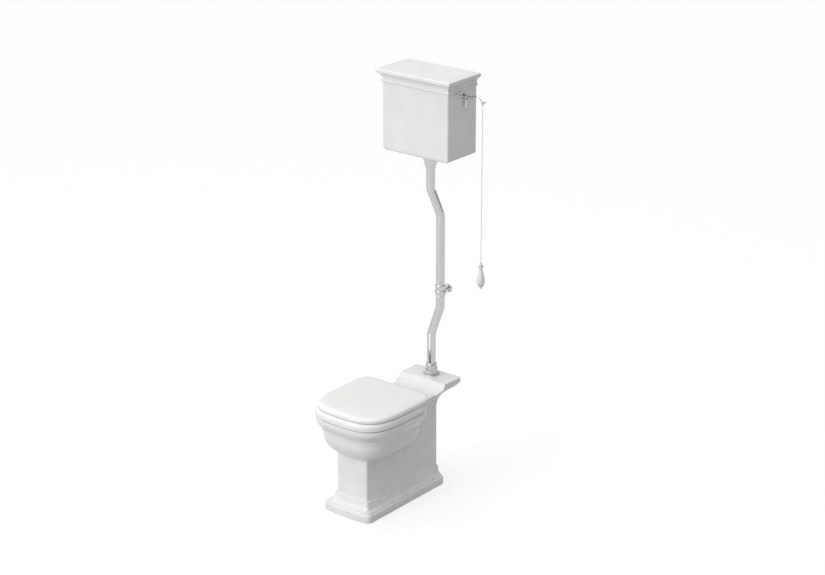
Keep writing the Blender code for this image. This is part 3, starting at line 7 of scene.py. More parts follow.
import bmesh
import bpy
from bpy.props import FloatProperty, FloatVectorProperty, IntProperty, PointerProperty
from mathutils import Matrix, Vector

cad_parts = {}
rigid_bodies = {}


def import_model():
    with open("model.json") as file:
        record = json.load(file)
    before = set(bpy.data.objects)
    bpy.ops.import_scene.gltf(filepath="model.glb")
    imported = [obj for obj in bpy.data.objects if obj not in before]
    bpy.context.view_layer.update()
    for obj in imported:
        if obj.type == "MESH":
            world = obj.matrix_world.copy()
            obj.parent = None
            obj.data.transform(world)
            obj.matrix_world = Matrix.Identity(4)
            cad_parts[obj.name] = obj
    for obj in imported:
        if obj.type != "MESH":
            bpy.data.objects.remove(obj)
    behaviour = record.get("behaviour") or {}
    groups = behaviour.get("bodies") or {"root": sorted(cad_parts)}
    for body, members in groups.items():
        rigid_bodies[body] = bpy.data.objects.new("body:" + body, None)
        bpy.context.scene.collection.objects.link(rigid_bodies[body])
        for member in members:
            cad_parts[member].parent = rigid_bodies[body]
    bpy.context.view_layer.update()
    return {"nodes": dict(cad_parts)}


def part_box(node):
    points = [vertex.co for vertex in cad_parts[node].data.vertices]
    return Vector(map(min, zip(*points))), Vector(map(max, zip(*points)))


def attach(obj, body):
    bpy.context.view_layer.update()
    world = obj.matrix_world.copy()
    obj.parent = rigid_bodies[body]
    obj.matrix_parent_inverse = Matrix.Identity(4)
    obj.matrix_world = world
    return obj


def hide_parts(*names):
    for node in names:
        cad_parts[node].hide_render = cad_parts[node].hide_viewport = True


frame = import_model()

bl_info = {
    "name": "High Level Toilet",
    "version": (1, 0, 0),
    "blender": (4, 5, 0),
    "location": "View3D > Sidebar > Toilet",
    "description": "Builds the china, seat, chromed pipework, lever and chain of a high level toilet",
    "category": "Add Mesh",
}

GAP = 0.0003  # between pieces that touch
ROUND = 48  # steps round a turned piece
AXES = {"Z": Matrix(), "X": Matrix.Rotation(pi / 2, 4, "Y"), "Y": Matrix.Rotation(-pi / 2, 4, "X")}


# ------------------------------------------------------------------ places taken from the frame


def low(node):
    return Vector(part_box(node)[0])


def high(node):
    return Vector(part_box(node)[1])


def middle(node):
    return (low(node) + high(node)) / 2


WALL_Y = high("cistern_body").y
HEEL_Y = 0.015
FOOT_LENGTH = 0.514
FOOT_FRONT_Y = HEEL_Y - FOOT_LENGTH
COLUMN_HALF = 0.0815
COLUMN_SETBACK = 0.040
COLUMN_FRONT_Y = FOOT_FRONT_Y + COLUMN_SETBACK
RIM_BAND = 0.014
RIM_OGEE = 0.048
RIM_TOP = 0.4265
RIM_Y = -0.305
RIM_HALF = 0.193
RIM_FRONT = 0.242
RIM_REAR = 0.166
MOUTH_Y = -0.350
MOUTH_HALF = 0.128
MOUTH_LENGTH = 0.144
PLATFORM_TOP = high("pan").z
PLATFORM_HALF = 0.122
PLATFORM_REAR_Y = 0.131
WALL = 0.012
HINGE_Y = middle("hinge_rod").y
HINGE_Z = middle("hinge_rod").z
HINGE_X = middle("hinge_post_right").x
SEAT_HALF = high("seat").x
SEAT_FRONT = RIM_Y - low("seat").y
PIPE_RADIUS = 0.019
TANK_HALF = high("cistern_body").x
TANK_FRONT_Y = low("cistern_body").y
TANK_BOTTOM = low("cistern_body").z
TANK_TOP = high("cistern_body").z + GAP
TANK_WALL = 0.009
OUTLET_Y = middle("union_nut").y
LEVER_Y = OUTLET_Y
FULCRUM = middle("fulcrum_pin")
LINK_OVERLAP = 2.25  # wires' thickness by which each link reaches into the next
LINK_ROUNDNESS = 0.48  # corner radius as a share of the link's width
NOISE_LOW, NOISE_HIGH = 0.35, 0.65  # where nearly all of a noise's values lie
FLOOR_TO_EYE = 0.70  # how bright the light floor is where it is looked at
FLOOR_IN_METAL = 0.50  # and where bright metal mirrors it
FLOOR_REACH = 40
CAMERA_PLACE = (5.3265, -6.7182, 4.0871)
CAMERA_TURN = (radians(90 - 20.51), 0.0, radians(38.63))


# ------------------------------------------------------------------ what a user may change


def linear(code):
    """An sRGB hex value as linear colour with full alpha."""
    shares = [int(code[i : i + 2], 16) / 255 for i in (0, 2, 4)]
    return (*(s / 12.92 if s <= 0.04045 else ((s + 0.055) / 1.055) ** 2.4 for s in shares), 1.0)


def colour(name, description, code):
    return FloatVectorProperty(
        name=name, description=description, default=linear(code), subtype="COLOR", size=4, min=0.0, max=1.0
    )


def length(name, description, default):
    return FloatProperty(
        name=name, description=description, default=default, min=0.0, unit="LENGTH", subtype="DISTANCE"
    )


class ToiletSizes(bpy.types.PropertyGroup):
    """Sizes of the visible pieces that the frame leaves free"""

    outline_steps: IntProperty(
        name="Outline steps", description="Points round the rim, the seat and the cover", default=144, min=24
    )
    lip_rounding: length("Lip rounding", "Radius of the glazed edge round the bowl's mouth", 0.006)
    tank_corner: length("Tank corner", "Radius of the cistern's upright corners", 0.007)
    tank_foot: length("Tank foot", "Radius of the cistern's lower edges", 0.014)
    link_length: length("Link length", "Outside length of one chain link", 0.0098)
    link_width: length("Link width", "Outside width of one chain link", 0.0052)
    link_wire: length("Link wire", "Thickness of the chain's wire", 0.0012)


class ToiletColours(bpy.types.PropertyGroup):
    """Colours of the finishes"""

    glaze: colour("Glaze", "White glaze over the china", "F3F3F2")
    glaze_pool: colour("Pooled glaze", "Where the glaze lies thicker", "ECEDED")
    seat: colour("Seat", "Moulded resin of the seat and the cover", "F2F2F1")
    chrome: colour("Chrome", "Chromium plate", "D6D8DA")
    brass: colour("Brass", "Turned brass inside the cistern", "C9A862")
    rubber: colour("Rubber", "Black moulded rubber", "1D1D1E")
    buffer: colour("Buffers", "Pale rubber under the seat and the cover", "DEDED8")
    plastic: colour("Plastic", "Moulded white plastic", "E9E9E4")
    floor: colour("Floor", "Plain studio floor", "A0A0A0")


class ToiletStudio(bpy.types.PropertyGroup):
    """Camera and light"""

    lens: FloatProperty(name="Lens", description="Focal length", default=94.56, unit="CAMERA", min=10.0)
    key_power: FloatProperty(name="Key", description="Front softbox", default=80.0, unit="POWER", min=0.0)
    top_power: FloatProperty(name="Top", description="Overhead softbox", default=9.0, unit="POWER", min=0.0)
    bright_side: FloatProperty(
        name="Bright side", description="Surround at the upper left", default=1.05, min=0.0
    )
    dark_side: FloatProperty(
        name="Dark side", description="Surround at the lower right", default=0.22, min=0.0
    )


# ------------------------------------------------------------------ finishes


def add(tree, kind, sockets=None, **settings):
    """A node with its settings. Each socket gets a value, or a link from an output or a node's first one."""
    node = tree.nodes.new(kind)
    for name, value in settings.items():
        setattr(node, name, value)
    for key, value in (sockets or {}).items():
        if isinstance(value, bpy.types.Node):
            value = value.outputs[0]
        if isinstance(value, bpy.types.NodeSocket):
            tree.links.new(value, node.inputs[key])
        else:
            node.inputs[key].default_value = value
    return node


def new_material(name):
    """A material with an empty tree, and the coordinates that its patterns lie on."""
    made = bpy.data.materials.new(name)
    made.use_nodes = True
    made.node_tree.nodes.clear()
    place = add(made.node_tree, "ShaderNodeTexCoord").outputs["Object"]
    return made, made.node_tree, place


def toned(colour_value, *shares):
    """The colour with its red, green and blue each multiplied, or all three alike."""
    return (*(min(1.0, value * shares[i % len(shares)]) for i, value in enumerate(colour_value[:3])), 1.0)


def vitreous_china(colours):
    """Slip-cast vitreous china under a fired white glaze: very glossy, and never quite flat, so long
    reflections waver; the glaze pools a little greyer in places."""
    made, tree, place = new_material("vitreous_china")
    slow = add(tree, "ShaderNodeTexNoise", {"Vector": place, "Scale": 1000 / 75, "Detail": 2.0})
    wave = add(tree, "ShaderNodeTexNoise", {"Vector": place, "Scale": 1000 / 30, "Detail": 1.0})
    peel = add(tree, "ShaderNodeTexNoise", {"Vector": place, "Scale": 1000 / 4.2, "Detail": 2.0})
    pooled = add(tree, "ShaderNodeMapRange", {"Value": slow, "From Min": NOISE_LOW, "From Max": NOISE_HIGH})
    mixed = add(tree, "ShaderNodeMix", {0: pooled, 6: colours.glaze_pool, 7: colours.glaze}, data_type="RGBA")
    wavering = add(tree, "ShaderNodeBump", {"Height": wave, "Distance": 0.00008})
    gloss = {"Value": wave, "From Min": NOISE_LOW, "From Max": NOISE_HIGH, "To Min": 0.055, "To Max": 0.10}
    surface = {
        "Base Color": mixed.outputs[2],
        "Roughness": add(tree, "ShaderNodeMapRange", gloss),
        "Normal": add(tree, "ShaderNodeBump", {"Height": peel, "Distance": 0.00002, "Normal": wavering}),
        "IOR": 1.54,
        "Coat Weight": 0.35,
        "Coat Roughness": 0.03,
    }
    add(tree, "ShaderNodeOutputMaterial", {"Surface": add(tree, "ShaderNodeBsdfPrincipled", surface)})
    return made


def polished_resin(colours):
    """Thermoset seat resin, pressed and buffed: a shade softer in gloss than the glaze, with buffing haze
    and a faint orange peel about 2 mm across."""
    made, tree, place = new_material("polished_resin")
    haze = add(tree, "ShaderNodeTexNoise", {"Vector": place, "Scale": 1000 / 55, "Detail": 3.0})
    peel = add(tree, "ShaderNodeTexNoise", {"Vector": place, "Scale": 1000 / 2.1, "Detail": 1.0})
    buffed = add(tree, "ShaderNodeMapRange", {"Value": haze, "From Min": NOISE_LOW, "From Max": NOISE_HIGH})
    colour_ends = {0: buffed, 6: colours.seat, 7: toned(colours.seat, 1.03)}
    mixed = add(tree, "ShaderNodeMix", colour_ends, data_type="RGBA")
    pressed = add(tree, "ShaderNodeBump", {"Height": haze, "Distance": 0.00012})
    gloss = {"Value": haze, "From Min": NOISE_LOW, "From Max": NOISE_HIGH, "To Min": 0.11, "To Max": 0.18}
    surface = {
        "Base Color": mixed.outputs[2],
        "Roughness": add(tree, "ShaderNodeMapRange", gloss),
        "Normal": add(tree, "ShaderNodeBump", {"Height": peel, "Distance": 0.000012, "Normal": pressed}),
        "IOR": 1.50,
    }
    add(tree, "ShaderNodeOutputMaterial", {"Surface": add(tree, "ShaderNodeBsdfPrincipled", surface)})
    return made


def chromium_plate(colours):
    """Bright chromium over polished brass: mirror clean, with a bluish cast, hairline buffing marks and
    the dull patches that water leaves, about 12 mm across."""
    made, tree, place = new_material("chromium_plate")
    along = add(tree, "ShaderNodeMapping", {"Vector": place, "Scale": (1, 1, 0.08)})
    patches = add(tree, "ShaderNodeTexNoise", {"Vector": place, "Scale": 1000 / 12, "Detail": 4.0})
    hairline = add(
        tree, "ShaderNodeTexNoise", {"Vector": along.outputs[0], "Scale": 1000 / 1.6, "Detail": 2.0}
    )
    beaten = add(tree, "ShaderNodeTexNoise", {"Vector": place, "Scale": 1000 / 20, "Detail": 1.0})
    watered = add(tree, "ShaderNodeMapRange", {"Value": patches, "From Min": 0.45, "From Max": 0.7})
    colour_ends = {0: watered, 6: colours.chrome, 7: toned(colours.chrome, 0.93)}
    mixed = add(tree, "ShaderNodeMix", colour_ends, data_type="RGBA")
    uneven = add(tree, "ShaderNodeBump", {"Height": beaten, "Distance": 0.00005})
    gloss = {"Value": patches, "From Min": NOISE_LOW, "From Max": NOISE_HIGH, "To Min": 0.035, "To Max": 0.10}
    surface = {
        "Base Color": mixed.outputs[2],
        "Roughness": add(tree, "ShaderNodeMapRange", gloss),
        "Normal": add(tree, "ShaderNodeBump", {"Height": hairline, "Distance": 0.000004, "Normal": uneven}),
        "Metallic": 1.0,
    }
    add(tree, "ShaderNodeOutputMaterial", {"Surface": add(tree, "ShaderNodeBsdfPrincipled", surface)})
    return made


def turned_brass(colours):
    """Machined brass, handled and tarnished: satin, browner in its patches, with fine tool marks
    drawn at 0.8 mm so that they show."""
    made, tree, place = new_material("turned_brass")
    around = add(tree, "ShaderNodeMapping", {"Vector": place, "Scale": (0.1, 0.1, 1)})
    patches = add(tree, "ShaderNodeTexNoise", {"Vector": place, "Scale": 1000 / 9, "Detail": 4.0})
    marks = add(tree, "ShaderNodeTexNoise", {"Vector": around.outputs[0], "Scale": 1000 / 0.8, "Detail": 1.0})
    tarnished = add(
        tree, "ShaderNodeMapRange", {"Value": patches, "From Min": NOISE_LOW, "From Max": NOISE_HIGH}
    )
    colour_ends = {0: tarnished, 6: colours.brass, 7: toned(colours.brass, 0.62, 0.55, 0.48)}
    mixed = add(tree, "ShaderNodeMix", colour_ends, data_type="RGBA")
    gloss = {"Value": patches, "From Min": NOISE_LOW, "From Max": NOISE_HIGH, "To Min": 0.22, "To Max": 0.42}
    surface = {
        "Base Color": mixed.outputs[2],
        "Roughness": add(tree, "ShaderNodeMapRange", gloss),
        "Normal": add(tree, "ShaderNodeBump", {"Height": marks, "Distance": 0.00003}),
        "Metallic": 1.0,
    }
    add(tree, "ShaderNodeOutputMaterial", {"Surface": add(tree, "ShaderNodeBsdfPrincipled", surface)})
    return made


def grained(name, colour_value, other, grain_size, patch_size, roughness, depth):
    """A moulded material: grain of one size in its relief and gloss, and slower patches in its colour."""
    made, tree, place = new_material(name)
    grain = add(tree, "ShaderNodeTexNoise", {"Vector": place, "Scale": 1000 / grain_size, "Detail": 2.0})
    patches = add(tree, "ShaderNodeTexNoise", {"Vector": place, "Scale": 1000 / patch_size, "Detail": 1.0})
    patched = add(
        tree, "ShaderNodeMapRange", {"Value": patches, "From Min": NOISE_LOW, "From Max": NOISE_HIGH}
    )
    mixed = add(tree, "ShaderNodeMix", {0: patched, 6: colour_value, 7: other}, data_type="RGBA")
    gloss = {"Value": grain, "From Min": NOISE_LOW, "From Max": NOISE_HIGH}
    gloss["To Min"], gloss["To Max"] = roughness
    surface = {
        "Base Color": mixed.outputs[2],
        "Roughness": add(tree, "ShaderNodeMapRange", gloss),
        "Normal": add(tree, "ShaderNodeBump", {"Height": grain, "Distance": depth}),
    }
    add(tree, "ShaderNodeOutputMaterial", {"Surface": add(tree, "ShaderNodeBsdfPrincipled", surface)})
    return made


def moulded_rubber(colours):
    """Black moulded rubber: matt, faintly bloomed grey, with a grain of about 0.7 mm."""
    bloom = (*(value + 0.02 for value in colours.rubber[:3]), 1.0)
    return grained("moulded_rubber", colours.rubber, bloom, 0.7, 6, (0.62, 0.80), 0.00004)


def pale_rubber(colours):
    """Pale elastomer of the buffers: a soft sheen, with a grain of about 0.9 mm."""
    duller = toned(colours.buffer, 0.9)
    return grained("pale_elastomer", colours.buffer, duller, 0.9, 4, (0.42, 0.55), 0.00003)


def moulded_plastic(colours):
    """Injection-moulded white plastic: soft gloss, and a spark texture of about 0.5 mm."""
    duller = toned(colours.plastic, 0.94)
    return grained("moulded_plastic", colours.plastic, duller, 0.5, 14, (0.28, 0.40), 0.00002)


def studio_paint(colours):
    """A matt white acrylic light floor, lit evenly from below, which both the eye and bright metal see,
    and which gives little light to what stands on it."""
    made, tree, place = new_material("studio_paint")
    stipple = add(tree, "ShaderNodeTexNoise", {"Vector": place, "Scale": 1000 / 4, "Detail": 2.0})
    rays = add(tree, "ShaderNodeLightPath").outputs
    mirrored = {0: rays["Is Glossy Ray"], 1: FLOOR_IN_METAL, 2: 0.0}
    shown = {
        0: rays["Is Camera Ray"],
        1: FLOOR_TO_EYE,
        2: add(tree, "ShaderNodeMath", mirrored, operation="MULTIPLY"),
    }
    surface = {
        "Base Color": colours.floor,
        "Roughness": 0.85,
        "Specular IOR Level": 0.1,
        "Emission Color": (1, 1, 1, 1),
        "Emission Strength": add(tree, "ShaderNodeMath", shown, operation="MULTIPLY_ADD"),
        "Normal": add(tree, "ShaderNodeBump", {"Height": stipple, "Distance": 0.00002}),
    }
    add(tree, "ShaderNodeOutputMaterial", {"Surface": add(tree, "ShaderNodeBsdfPrincipled", surface)})
    return made


FINISHES = {
    "white_china": vitreous_china,
    "seat_resin": polished_resin,
    "chrome": chromium_plate,
    "brass": turned_brass,
    "black_rubber": moulded_rubber,
    "buffer_rubber": pale_rubber,
    "white_plastic": moulded_plastic,
    "studio": studio_paint,
}
made_finishes = {}


def finish(slot):
    """The material for a slot of the record, made once."""
    if slot not in made_finishes:
        made_finishes[slot] = FINISHES[slot](bpy.context.scene.toilet_colours)
    return made_finishes[slot]


# ------------------------------------------------------------------ making meshes


def mesh_object(name, bm, sharp=32):
    """The bmesh as an object with outward faces, shaded smooth but for its edges over the sharp angle."""
    bmesh.ops.recalc_face_normals(bm, faces=bm.faces)
    mesh = bpy.data.meshes.new(name)
    bm.to_mesh(mesh)
    bm.free()
    made = bpy.data.objects.new(name, mesh)
    bpy.context.scene.collection.objects.link(made)
    mesh.shade_smooth()
    mesh.set_sharp_from_angle(angle=radians(sharp))
    return made


def settle(made, merge=0.00001, sharp=32):
    """Turns what the modifiers show into the piece's own mesh, and takes their helpers away."""
    helpers = [modifier.object for modifier in made.modifiers if modifier.type == "BOOLEAN"]
    evaluated = made.evaluated_get(bpy.context.evaluated_depsgraph_get())
    mesh = bpy.data.meshes.new_from_object(evaluated)
    made.modifiers.clear()
    made.data = mesh
    for helper in helpers:
        bpy.data.objects.remove(helper, do_unlink=True)
    bm = bmesh.new()
    bm.from_mesh(mesh)
    bmesh.ops.remove_doubles(bm, verts=bm.verts, dist=merge)
    bmesh.ops.dissolve_degenerate(bm, edges=bm.edges, dist=merge)
    bm.to_mesh(mesh)
    bm.free()
    mesh.shade_smooth()
    mesh.set_sharp_from_angle(angle=radians(sharp))
    return made


def place_piece(made, slot, body, *nodes):
    """Gives a finished piece its finish and its body, in place of the CAD nodes that it stands for."""
    made.data.materials.clear()
    made.data.materials.append(finish(slot))
    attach(made, body)
    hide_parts(*nodes)
    return made


def loft(name, rings, closed=False, sharp=32):
    """A skin over rings of points, capped at both ends, or joined end to end when closed."""
    bm = bmesh.new()
    made = [[bm.verts.new(point) for point in ring] for ring in rings]
    pairs = list(zip(made, made[1:]))
    if closed:
        pairs.append((made[-1], made[0]))
    else:
        bm.faces.new(made[0])
        bm.faces.new(made[-1])
    for first, second in pairs:
        for i in range(len(first)):
            j = (i + 1) % len(first)
            bm.faces.new((first[i], first[j], second[j], second[i]))
    return mesh_object(name, bm, sharp)


def turned(name, profile, place=(0, 0, 0), axis="Z", steps=ROUND, sharp=32):
    """A profile of (radius, height) points turned about an axis through place. Its ends lie on the axis,
    or its first point is its last, which leaves a bore."""
    matrix = Matrix.Translation(place) @ AXES[axis]
    bm = bmesh.new()
    looped = profile[0] == profile[-1]
    rows = []
    for radius, height in profile[:-1] if looped else profile:
        count = steps if radius > 1e-7 else 1
        angles = [tau * i / count for i in range(count)]
        points = [Vector((radius * cos(angle), radius * sin(angle), height)) for angle in angles]
        rows.append([bm.verts.new(matrix @ point) for point in points])
    pairs = list(zip(rows, rows[1:])) + ([(rows[-1], rows[0])] if looped else [])
    for first, second in pairs:
        for i in range(steps):
            corners = [
                first[i % len(first)],
                first[(i + 1) % len(first)],
                second[(i + 1) % len(second)],
                second[i % len(second)],
            ]
            bm.faces.new(list(dict.fromkeys(corners)))
    return mesh_object(name, bm, sharp)


def eased(corners, steps=5):
    """A profile through corners of (across, up, radius), each inner one with a radius drawn as an arc."""
    path = [tuple(corners[0][:2])]
    for before, corner, after in zip(corners, corners[1:], corners[2:]):
        radius = corner[2]
        at, last, following = Vector(corner[:2]), Vector(before[:2]), Vector(after[:2])
        back, ahead = (last - at).normalized(), (following - at).normalized()
        half = back.angle(ahead) / 2
        if not radius or half > pi / 2 - 0.01:
            path.append(tuple(at))
            continue
        reach = min(radius / tan(half), 0.49 * min((last - at).length, (following - at).length))
        bend = reach * tan(half)
        centre = at + (back + ahead).normalized() * (bend / sin(half))
        start, end = at + back * reach - centre, at + ahead * reach - centre
        whole = start.angle(end)
        for i in range(steps + 1):
            share = i / steps
            arm = (sin((1 - share) * whole) * start + sin(share * whole) * end) / sin(whole)
            path.append(tuple(centre + arm))
    return path + [tuple(corners[-1][:2])]


def ring_profile(corners, steps=5):
    """A closed, eased profile for turned(): the first corner is repeated at its end."""
    made = eased([*corners, corners[0]], steps)
    return made[:-1] + made[:1]


def flowing(points, steps=4):
    """A smooth curve through points of (value, value), with that many steps to each span."""
    found = []
    for i in range(len(points) - 1):
        before, start = points[max(i - 1, 0)], points[i]
        end, after = points[i + 1], points[min(i + 2, len(points) - 1)]
        for step in range(steps):
            t = step / steps
            weights = (
                -0.5 * t + t**2 - 0.5 * t**3,
                1 - 2.5 * t**2 + 1.5 * t**3,
                0.5 * t + 2 * t**2 - 1.5 * t**3,
                -0.5 * t**2 + 0.5 * t**3,
            )
            found.append(
                tuple(sum(w * p[k] for w, p in zip(weights, (before, start, end, after))) for k in (0, 1))
            )
    return found + [tuple(points[-1])]


def block(name, first, last, bevel=0.0, segments=3):
    """A block between two corners, its edges rounded by bevel."""
    bm = bmesh.new()
    bmesh.ops.create_cube(bm, size=1.0)
    for vert in bm.verts:
        vert.co = Vector(first[i] if vert.co[i] < 0 else last[i] for i in range(3))
    if bevel:
        bmesh.ops.bevel(bm, geom=bm.edges[:], offset=bevel, segments=segments, profile=0.5, affect="EDGES")
    return mesh_object(name, bm)


def circles(points, radius, steps):
    """Rings round a path, carried along it without twisting; radius may be one for each point."""
    found, side = [], None
    for i, point in enumerate(points):
        ahead = (points[min(i + 1, len(points) - 1)] - points[max(i - 1, 0)]).normalized()
        if side is None:
            side = ahead.orthogonal().normalized()
        side = (side - ahead * side.dot(ahead)).normalized()
        other = ahead.cross(side)
        size = radius[i] if isinstance(radius, (list, tuple)) else radius
        angles = [tau * k / steps for k in range(steps)]
        found.append([point + size * (cos(angle) * side + sin(angle) * other) for angle in angles])
    return found


def swept(name, points, radius, inner=0.0, steps=ROUND):
    """A round bar along the points, or a pipe when it has an inner radius."""
    points = [Vector(point) for point in points]
    outside = circles(points, radius, steps)
    if not inner:
        return loft(name, outside)
    return loft(name, outside + circles(points, inner, steps)[::-1], closed=True)


def rounded_path(corners, radius, steps=14):
    """The path through the corners, with an arc of that radius at each inner one."""
    corners = [Vector(corner) for corner in corners]
    path = [corners[0]]
    for before, corner, after in zip(corners, corners[1:], corners[2:]):
        back, ahead = (before - corner).normalized(), (after - corner).normalized()
        half = back.angle(ahead) / 2
        reach = min(radius / tan(half), 0.49 * min((before - corner).length, (after - corner).length))
        bend = reach * tan(half)
        centre = corner + (back + ahead).normalized() * (bend / sin(half))
        start, end = corner + back * reach - centre, corner + ahead * reach - centre
        whole = start.angle(end)
        for i in range(steps + 1):
            share = i / steps
            arm = sin((1 - share) * whole) * start + sin(share * whole) * end
            path.append(centre + arm / sin(whole))
    return path + [corners[-1]]


def superellipse(z, centre_y, half_width, front, rear, powers=(3.5, 3.5), steps=0):
    """A level outline with one half width, and its own length and squareness before and behind its middle."""
    steps = steps or bpy.context.scene.toilet_sizes.outline_steps
    ring = []
    for i in range(steps):
        turn = tau * (i + 0.5) / steps
        across, along = sin(turn), -cos(turn)
        reach, power = (front, powers[0]) if along < 0 else (rear, powers[1])
        x = half_width * abs(across) ** (2 / power) * (1 if across > 0 else -1)
        y = centre_y + reach * abs(along) ** (2 / power) * (1 if along > 0 else -1)
        ring.append(Vector((x, y, z)))
    return ring


def rectangle(z, half_width, front_y, rear_y, radius=0.006, steps=8, bow=0.0):
    """A level rectangle with round corners, whose front edge bows out by bow."""
    radius = min(radius, 0.98 * half_width, 0.49 * (rear_y - front_y))
    corners = (
        (half_width - radius, front_y + radius, -pi / 2),
        (half_width - radius, rear_y - radius, 0.0),
        (radius - half_width, rear_y - radius, pi / 2),
        (radius - half_width, front_y + radius, pi),
    )
    ring = [
        Vector((x + radius * cos(start + turn), y + radius * sin(start + turn), z))
        for x, y, start in corners
        for turn in (pi / 2 * i / steps for i in range(steps + 1))
    ]
    if bow:
        inner = half_width - radius
        ring += [Vector((-inner + 2 * inner * i / 18, front_y, z)) for i in range(1, 18)]
        for point in ring:
            if point.y < front_y + radius:
                point.y -= bow * (1 - (point.x / half_width) ** 2)
    return ring


def combine(target, operation, others):
    """Joins helpers to a piece, or cuts them from it, in the order given."""
    for other in others:
        modifier = target.modifiers.new(other.name, "BOOLEAN")
        modifier.operation = operation
        modifier.solver = "EXACT"
        modifier.object = other
        other.hide_render = True


def join(target, *others):
    combine(target, "UNION", others)


def cut(target, *others):
    combine(target, "DIFFERENCE", others)


def refined(node, slot, body, bevel=0.0004):
    """A CAD node's shape merged into one skin, its flat faces made whole and its edges slightly rounded."""
    bm = bmesh.new()
    bm.from_mesh(frame["nodes"][node].data)
    bmesh.ops.remove_doubles(bm, verts=bm.verts, dist=0.000005)
    bmesh.ops.dissolve_limit(bm, angle_limit=radians(1), verts=bm.verts, edges=bm.edges)
    mesh = bpy.data.meshes.new(f"{node}_finished")
    bm.to_mesh(mesh)
    bm.free()
    made = bpy.data.objects.new(f"{node}_finished", mesh)
    bpy.context.scene.collection.objects.link(made)
    if bevel:
        rounding = made.modifiers.new("edges", "BEVEL")
        rounding.width = bevel
        rounding.segments = 2
        rounding.limit_method = "ANGLE"
        rounding.angle_limit = radians(38)
        settle(made, 0.000002, 38)
    else:
        mesh.shade_smooth()
        mesh.set_sharp_from_angle(angle=radians(38))
    return place_piece(made, slot, body, node)


def body_of(node):
    """The name of the body that a CAD node rides on."""
    return frame["nodes"][node].parent.name.split(":")[1]


# ------------------------------------------------------------------ the pan


def smooth_step(share):
    return share * share * (3 - 2 * share)


def plinth_profile():
    """How far the foot stands out from the column, and how high: band, ledge, cove, fillet and fade."""
    band = eased(
        [
            (0.0420, 0.0, 0),
            (0.0435, 0.0015, 0.001),
            (0.0435, 0.0330, 0.003),
            (0.0337, 0.0333, 0.0012),
            (0.0336, 0.039, 0),
        ]
    )
    cove = [(0.0335 - 0.0218 * sin(turn), 0.039 + 0.027 * (1 - cos(turn))) for turn in quarter(12)]
    fillet = eased(
        [
            (0.0114, 0.0663, 0),
            (0.0106, 0.0680, 0.001),
            (0.0106, 0.0752, 0.002),
            (0.0014, 0.0776, 0.002),
            (0.0, 0.092, 0),
        ]
    )
    return band + cove + fillet


def quarter(steps):
    return [pi / 2 * i / steps for i in range(steps + 1)]


def pedestal():
    """The foot with its stepped moulding, the straight column, and the platform that swells out behind."""
    rings = []
    for out, z in plinth_profile():
        share = out / 0.0435
        radius, bow = 0.008 + 0.010 * share, 0.004 + 0.006 * share
        rings.append(rectangle(z, COLUMN_HALF + out, COLUMN_FRONT_Y - 0.92 * out, HEEL_Y, radius, bow=bow))
    swell = ((0.105, 0.0), (0.088, 0.03), (0.070, 0.10), (0.058, 0.22), (0.050, 0.36), (0.044, 0.52))
    swell += ((0.038, 0.70), (0.031, 0.86), (0.024, 0.96), (0.017, 1.0), (0.010, 1.0))
    sections = [(drop, min(1.0, share), 0.0) for drop, share in flowing(swell, 4)]
    sections += [(0.0045 - 0.0045 * sin(turn), 1.0, 0.0045 * (1 - cos(turn))) for turn in quarter(6)]
    for drop, share, inset in sections:
        half_width = COLUMN_HALF + share * (PLATFORM_HALF - COLUMN_HALF) - inset
        rear_y = HEEL_Y + share * (PLATFORM_REAR_Y - HEEL_Y) - inset
        rings.append(rectangle(
            PLATFORM_TOP - drop, half_width, COLUMN_FRONT_Y + 0.10 * share, rear_y, 0.009, bow=0.004
        ))
    return loft("pan_finished", rings)


def bowl_rings():
    """Outlines of the bowl from its round underside, through its band and its ogee, up to the rim."""
    band_top = RIM_TOP - RIM_BAND
    ogee_foot = band_top - RIM_OGEE
    shoulder = ogee_foot - 0.018
    depth = shoulder - (RIM_TOP - 0.212)
    profile = [
        (
            shoulder - depth * cos(turn), 0.027, sin(turn)
        ) for turn in (pi / 2 * (i + 1.5) / 24 for i in range(23))
    ]
    cove = 0.0225
    profile += [(shoulder, 0.0268, 1.0), (ogee_foot - 0.0062, 0.0262, 1.0), (ogee_foot - 0.0052, 0.0255, 1.0)]
    profile += [(ogee_foot - 0.0046, 0.0236, 1.0), (ogee_foot - 0.0036, cove, 1.0), (ogee_foot, cove, 1.0)]
    for share in (i / 16 for i in range(1, 17)):
        profile.append((ogee_foot + RIM_OGEE * share, cove * (1 - smooth_step(share)), 1.0))
    profile += [
        (RIM_TOP - 0.0028 + 0.003 * sin(turn), 0.003 * (1 - cos(turn)), 1.0) for turn in quarter(6)
    ]
    return [
        superellipse(
            z, RIM_Y, *((reach - inset) * share for reach in (RIM_HALF, RIM_FRONT, RIM_REAR)), (3.4, 4.2)
        )
        for z, inset, share in profile
    ]


def bowl_hollow_rings():
    """Outlines of the space inside the bowl's skin, short of the hinge holes behind it."""
    ceiling = RIM_TOP - 0.016
    shoulder = RIM_TOP - 0.080
    floor = RIM_TOP - 0.212 + WALL
    rear_limit = HINGE_Y - 0.0138 - RIM_Y
    rings = []
    for z in [floor + (shoulder - floor) * i / 10 for i in range(11)] + [RIM_TOP - 0.062, ceiling]:
        share = min(1.0, (z - floor) / (shoulder - floor))
        share = max(0.45, (1 - (1 - share) ** 2) ** 0.5)
        half_width = (RIM_HALF - 0.038) * share
        front = (RIM_FRONT - 0.038) * share
        rear = min((RIM_REAR - 0.038) * share, rear_limit)
        rings.append(superellipse(z, RIM_Y, half_width, front, rear, (3.4, 4.2), 72))
    return rings


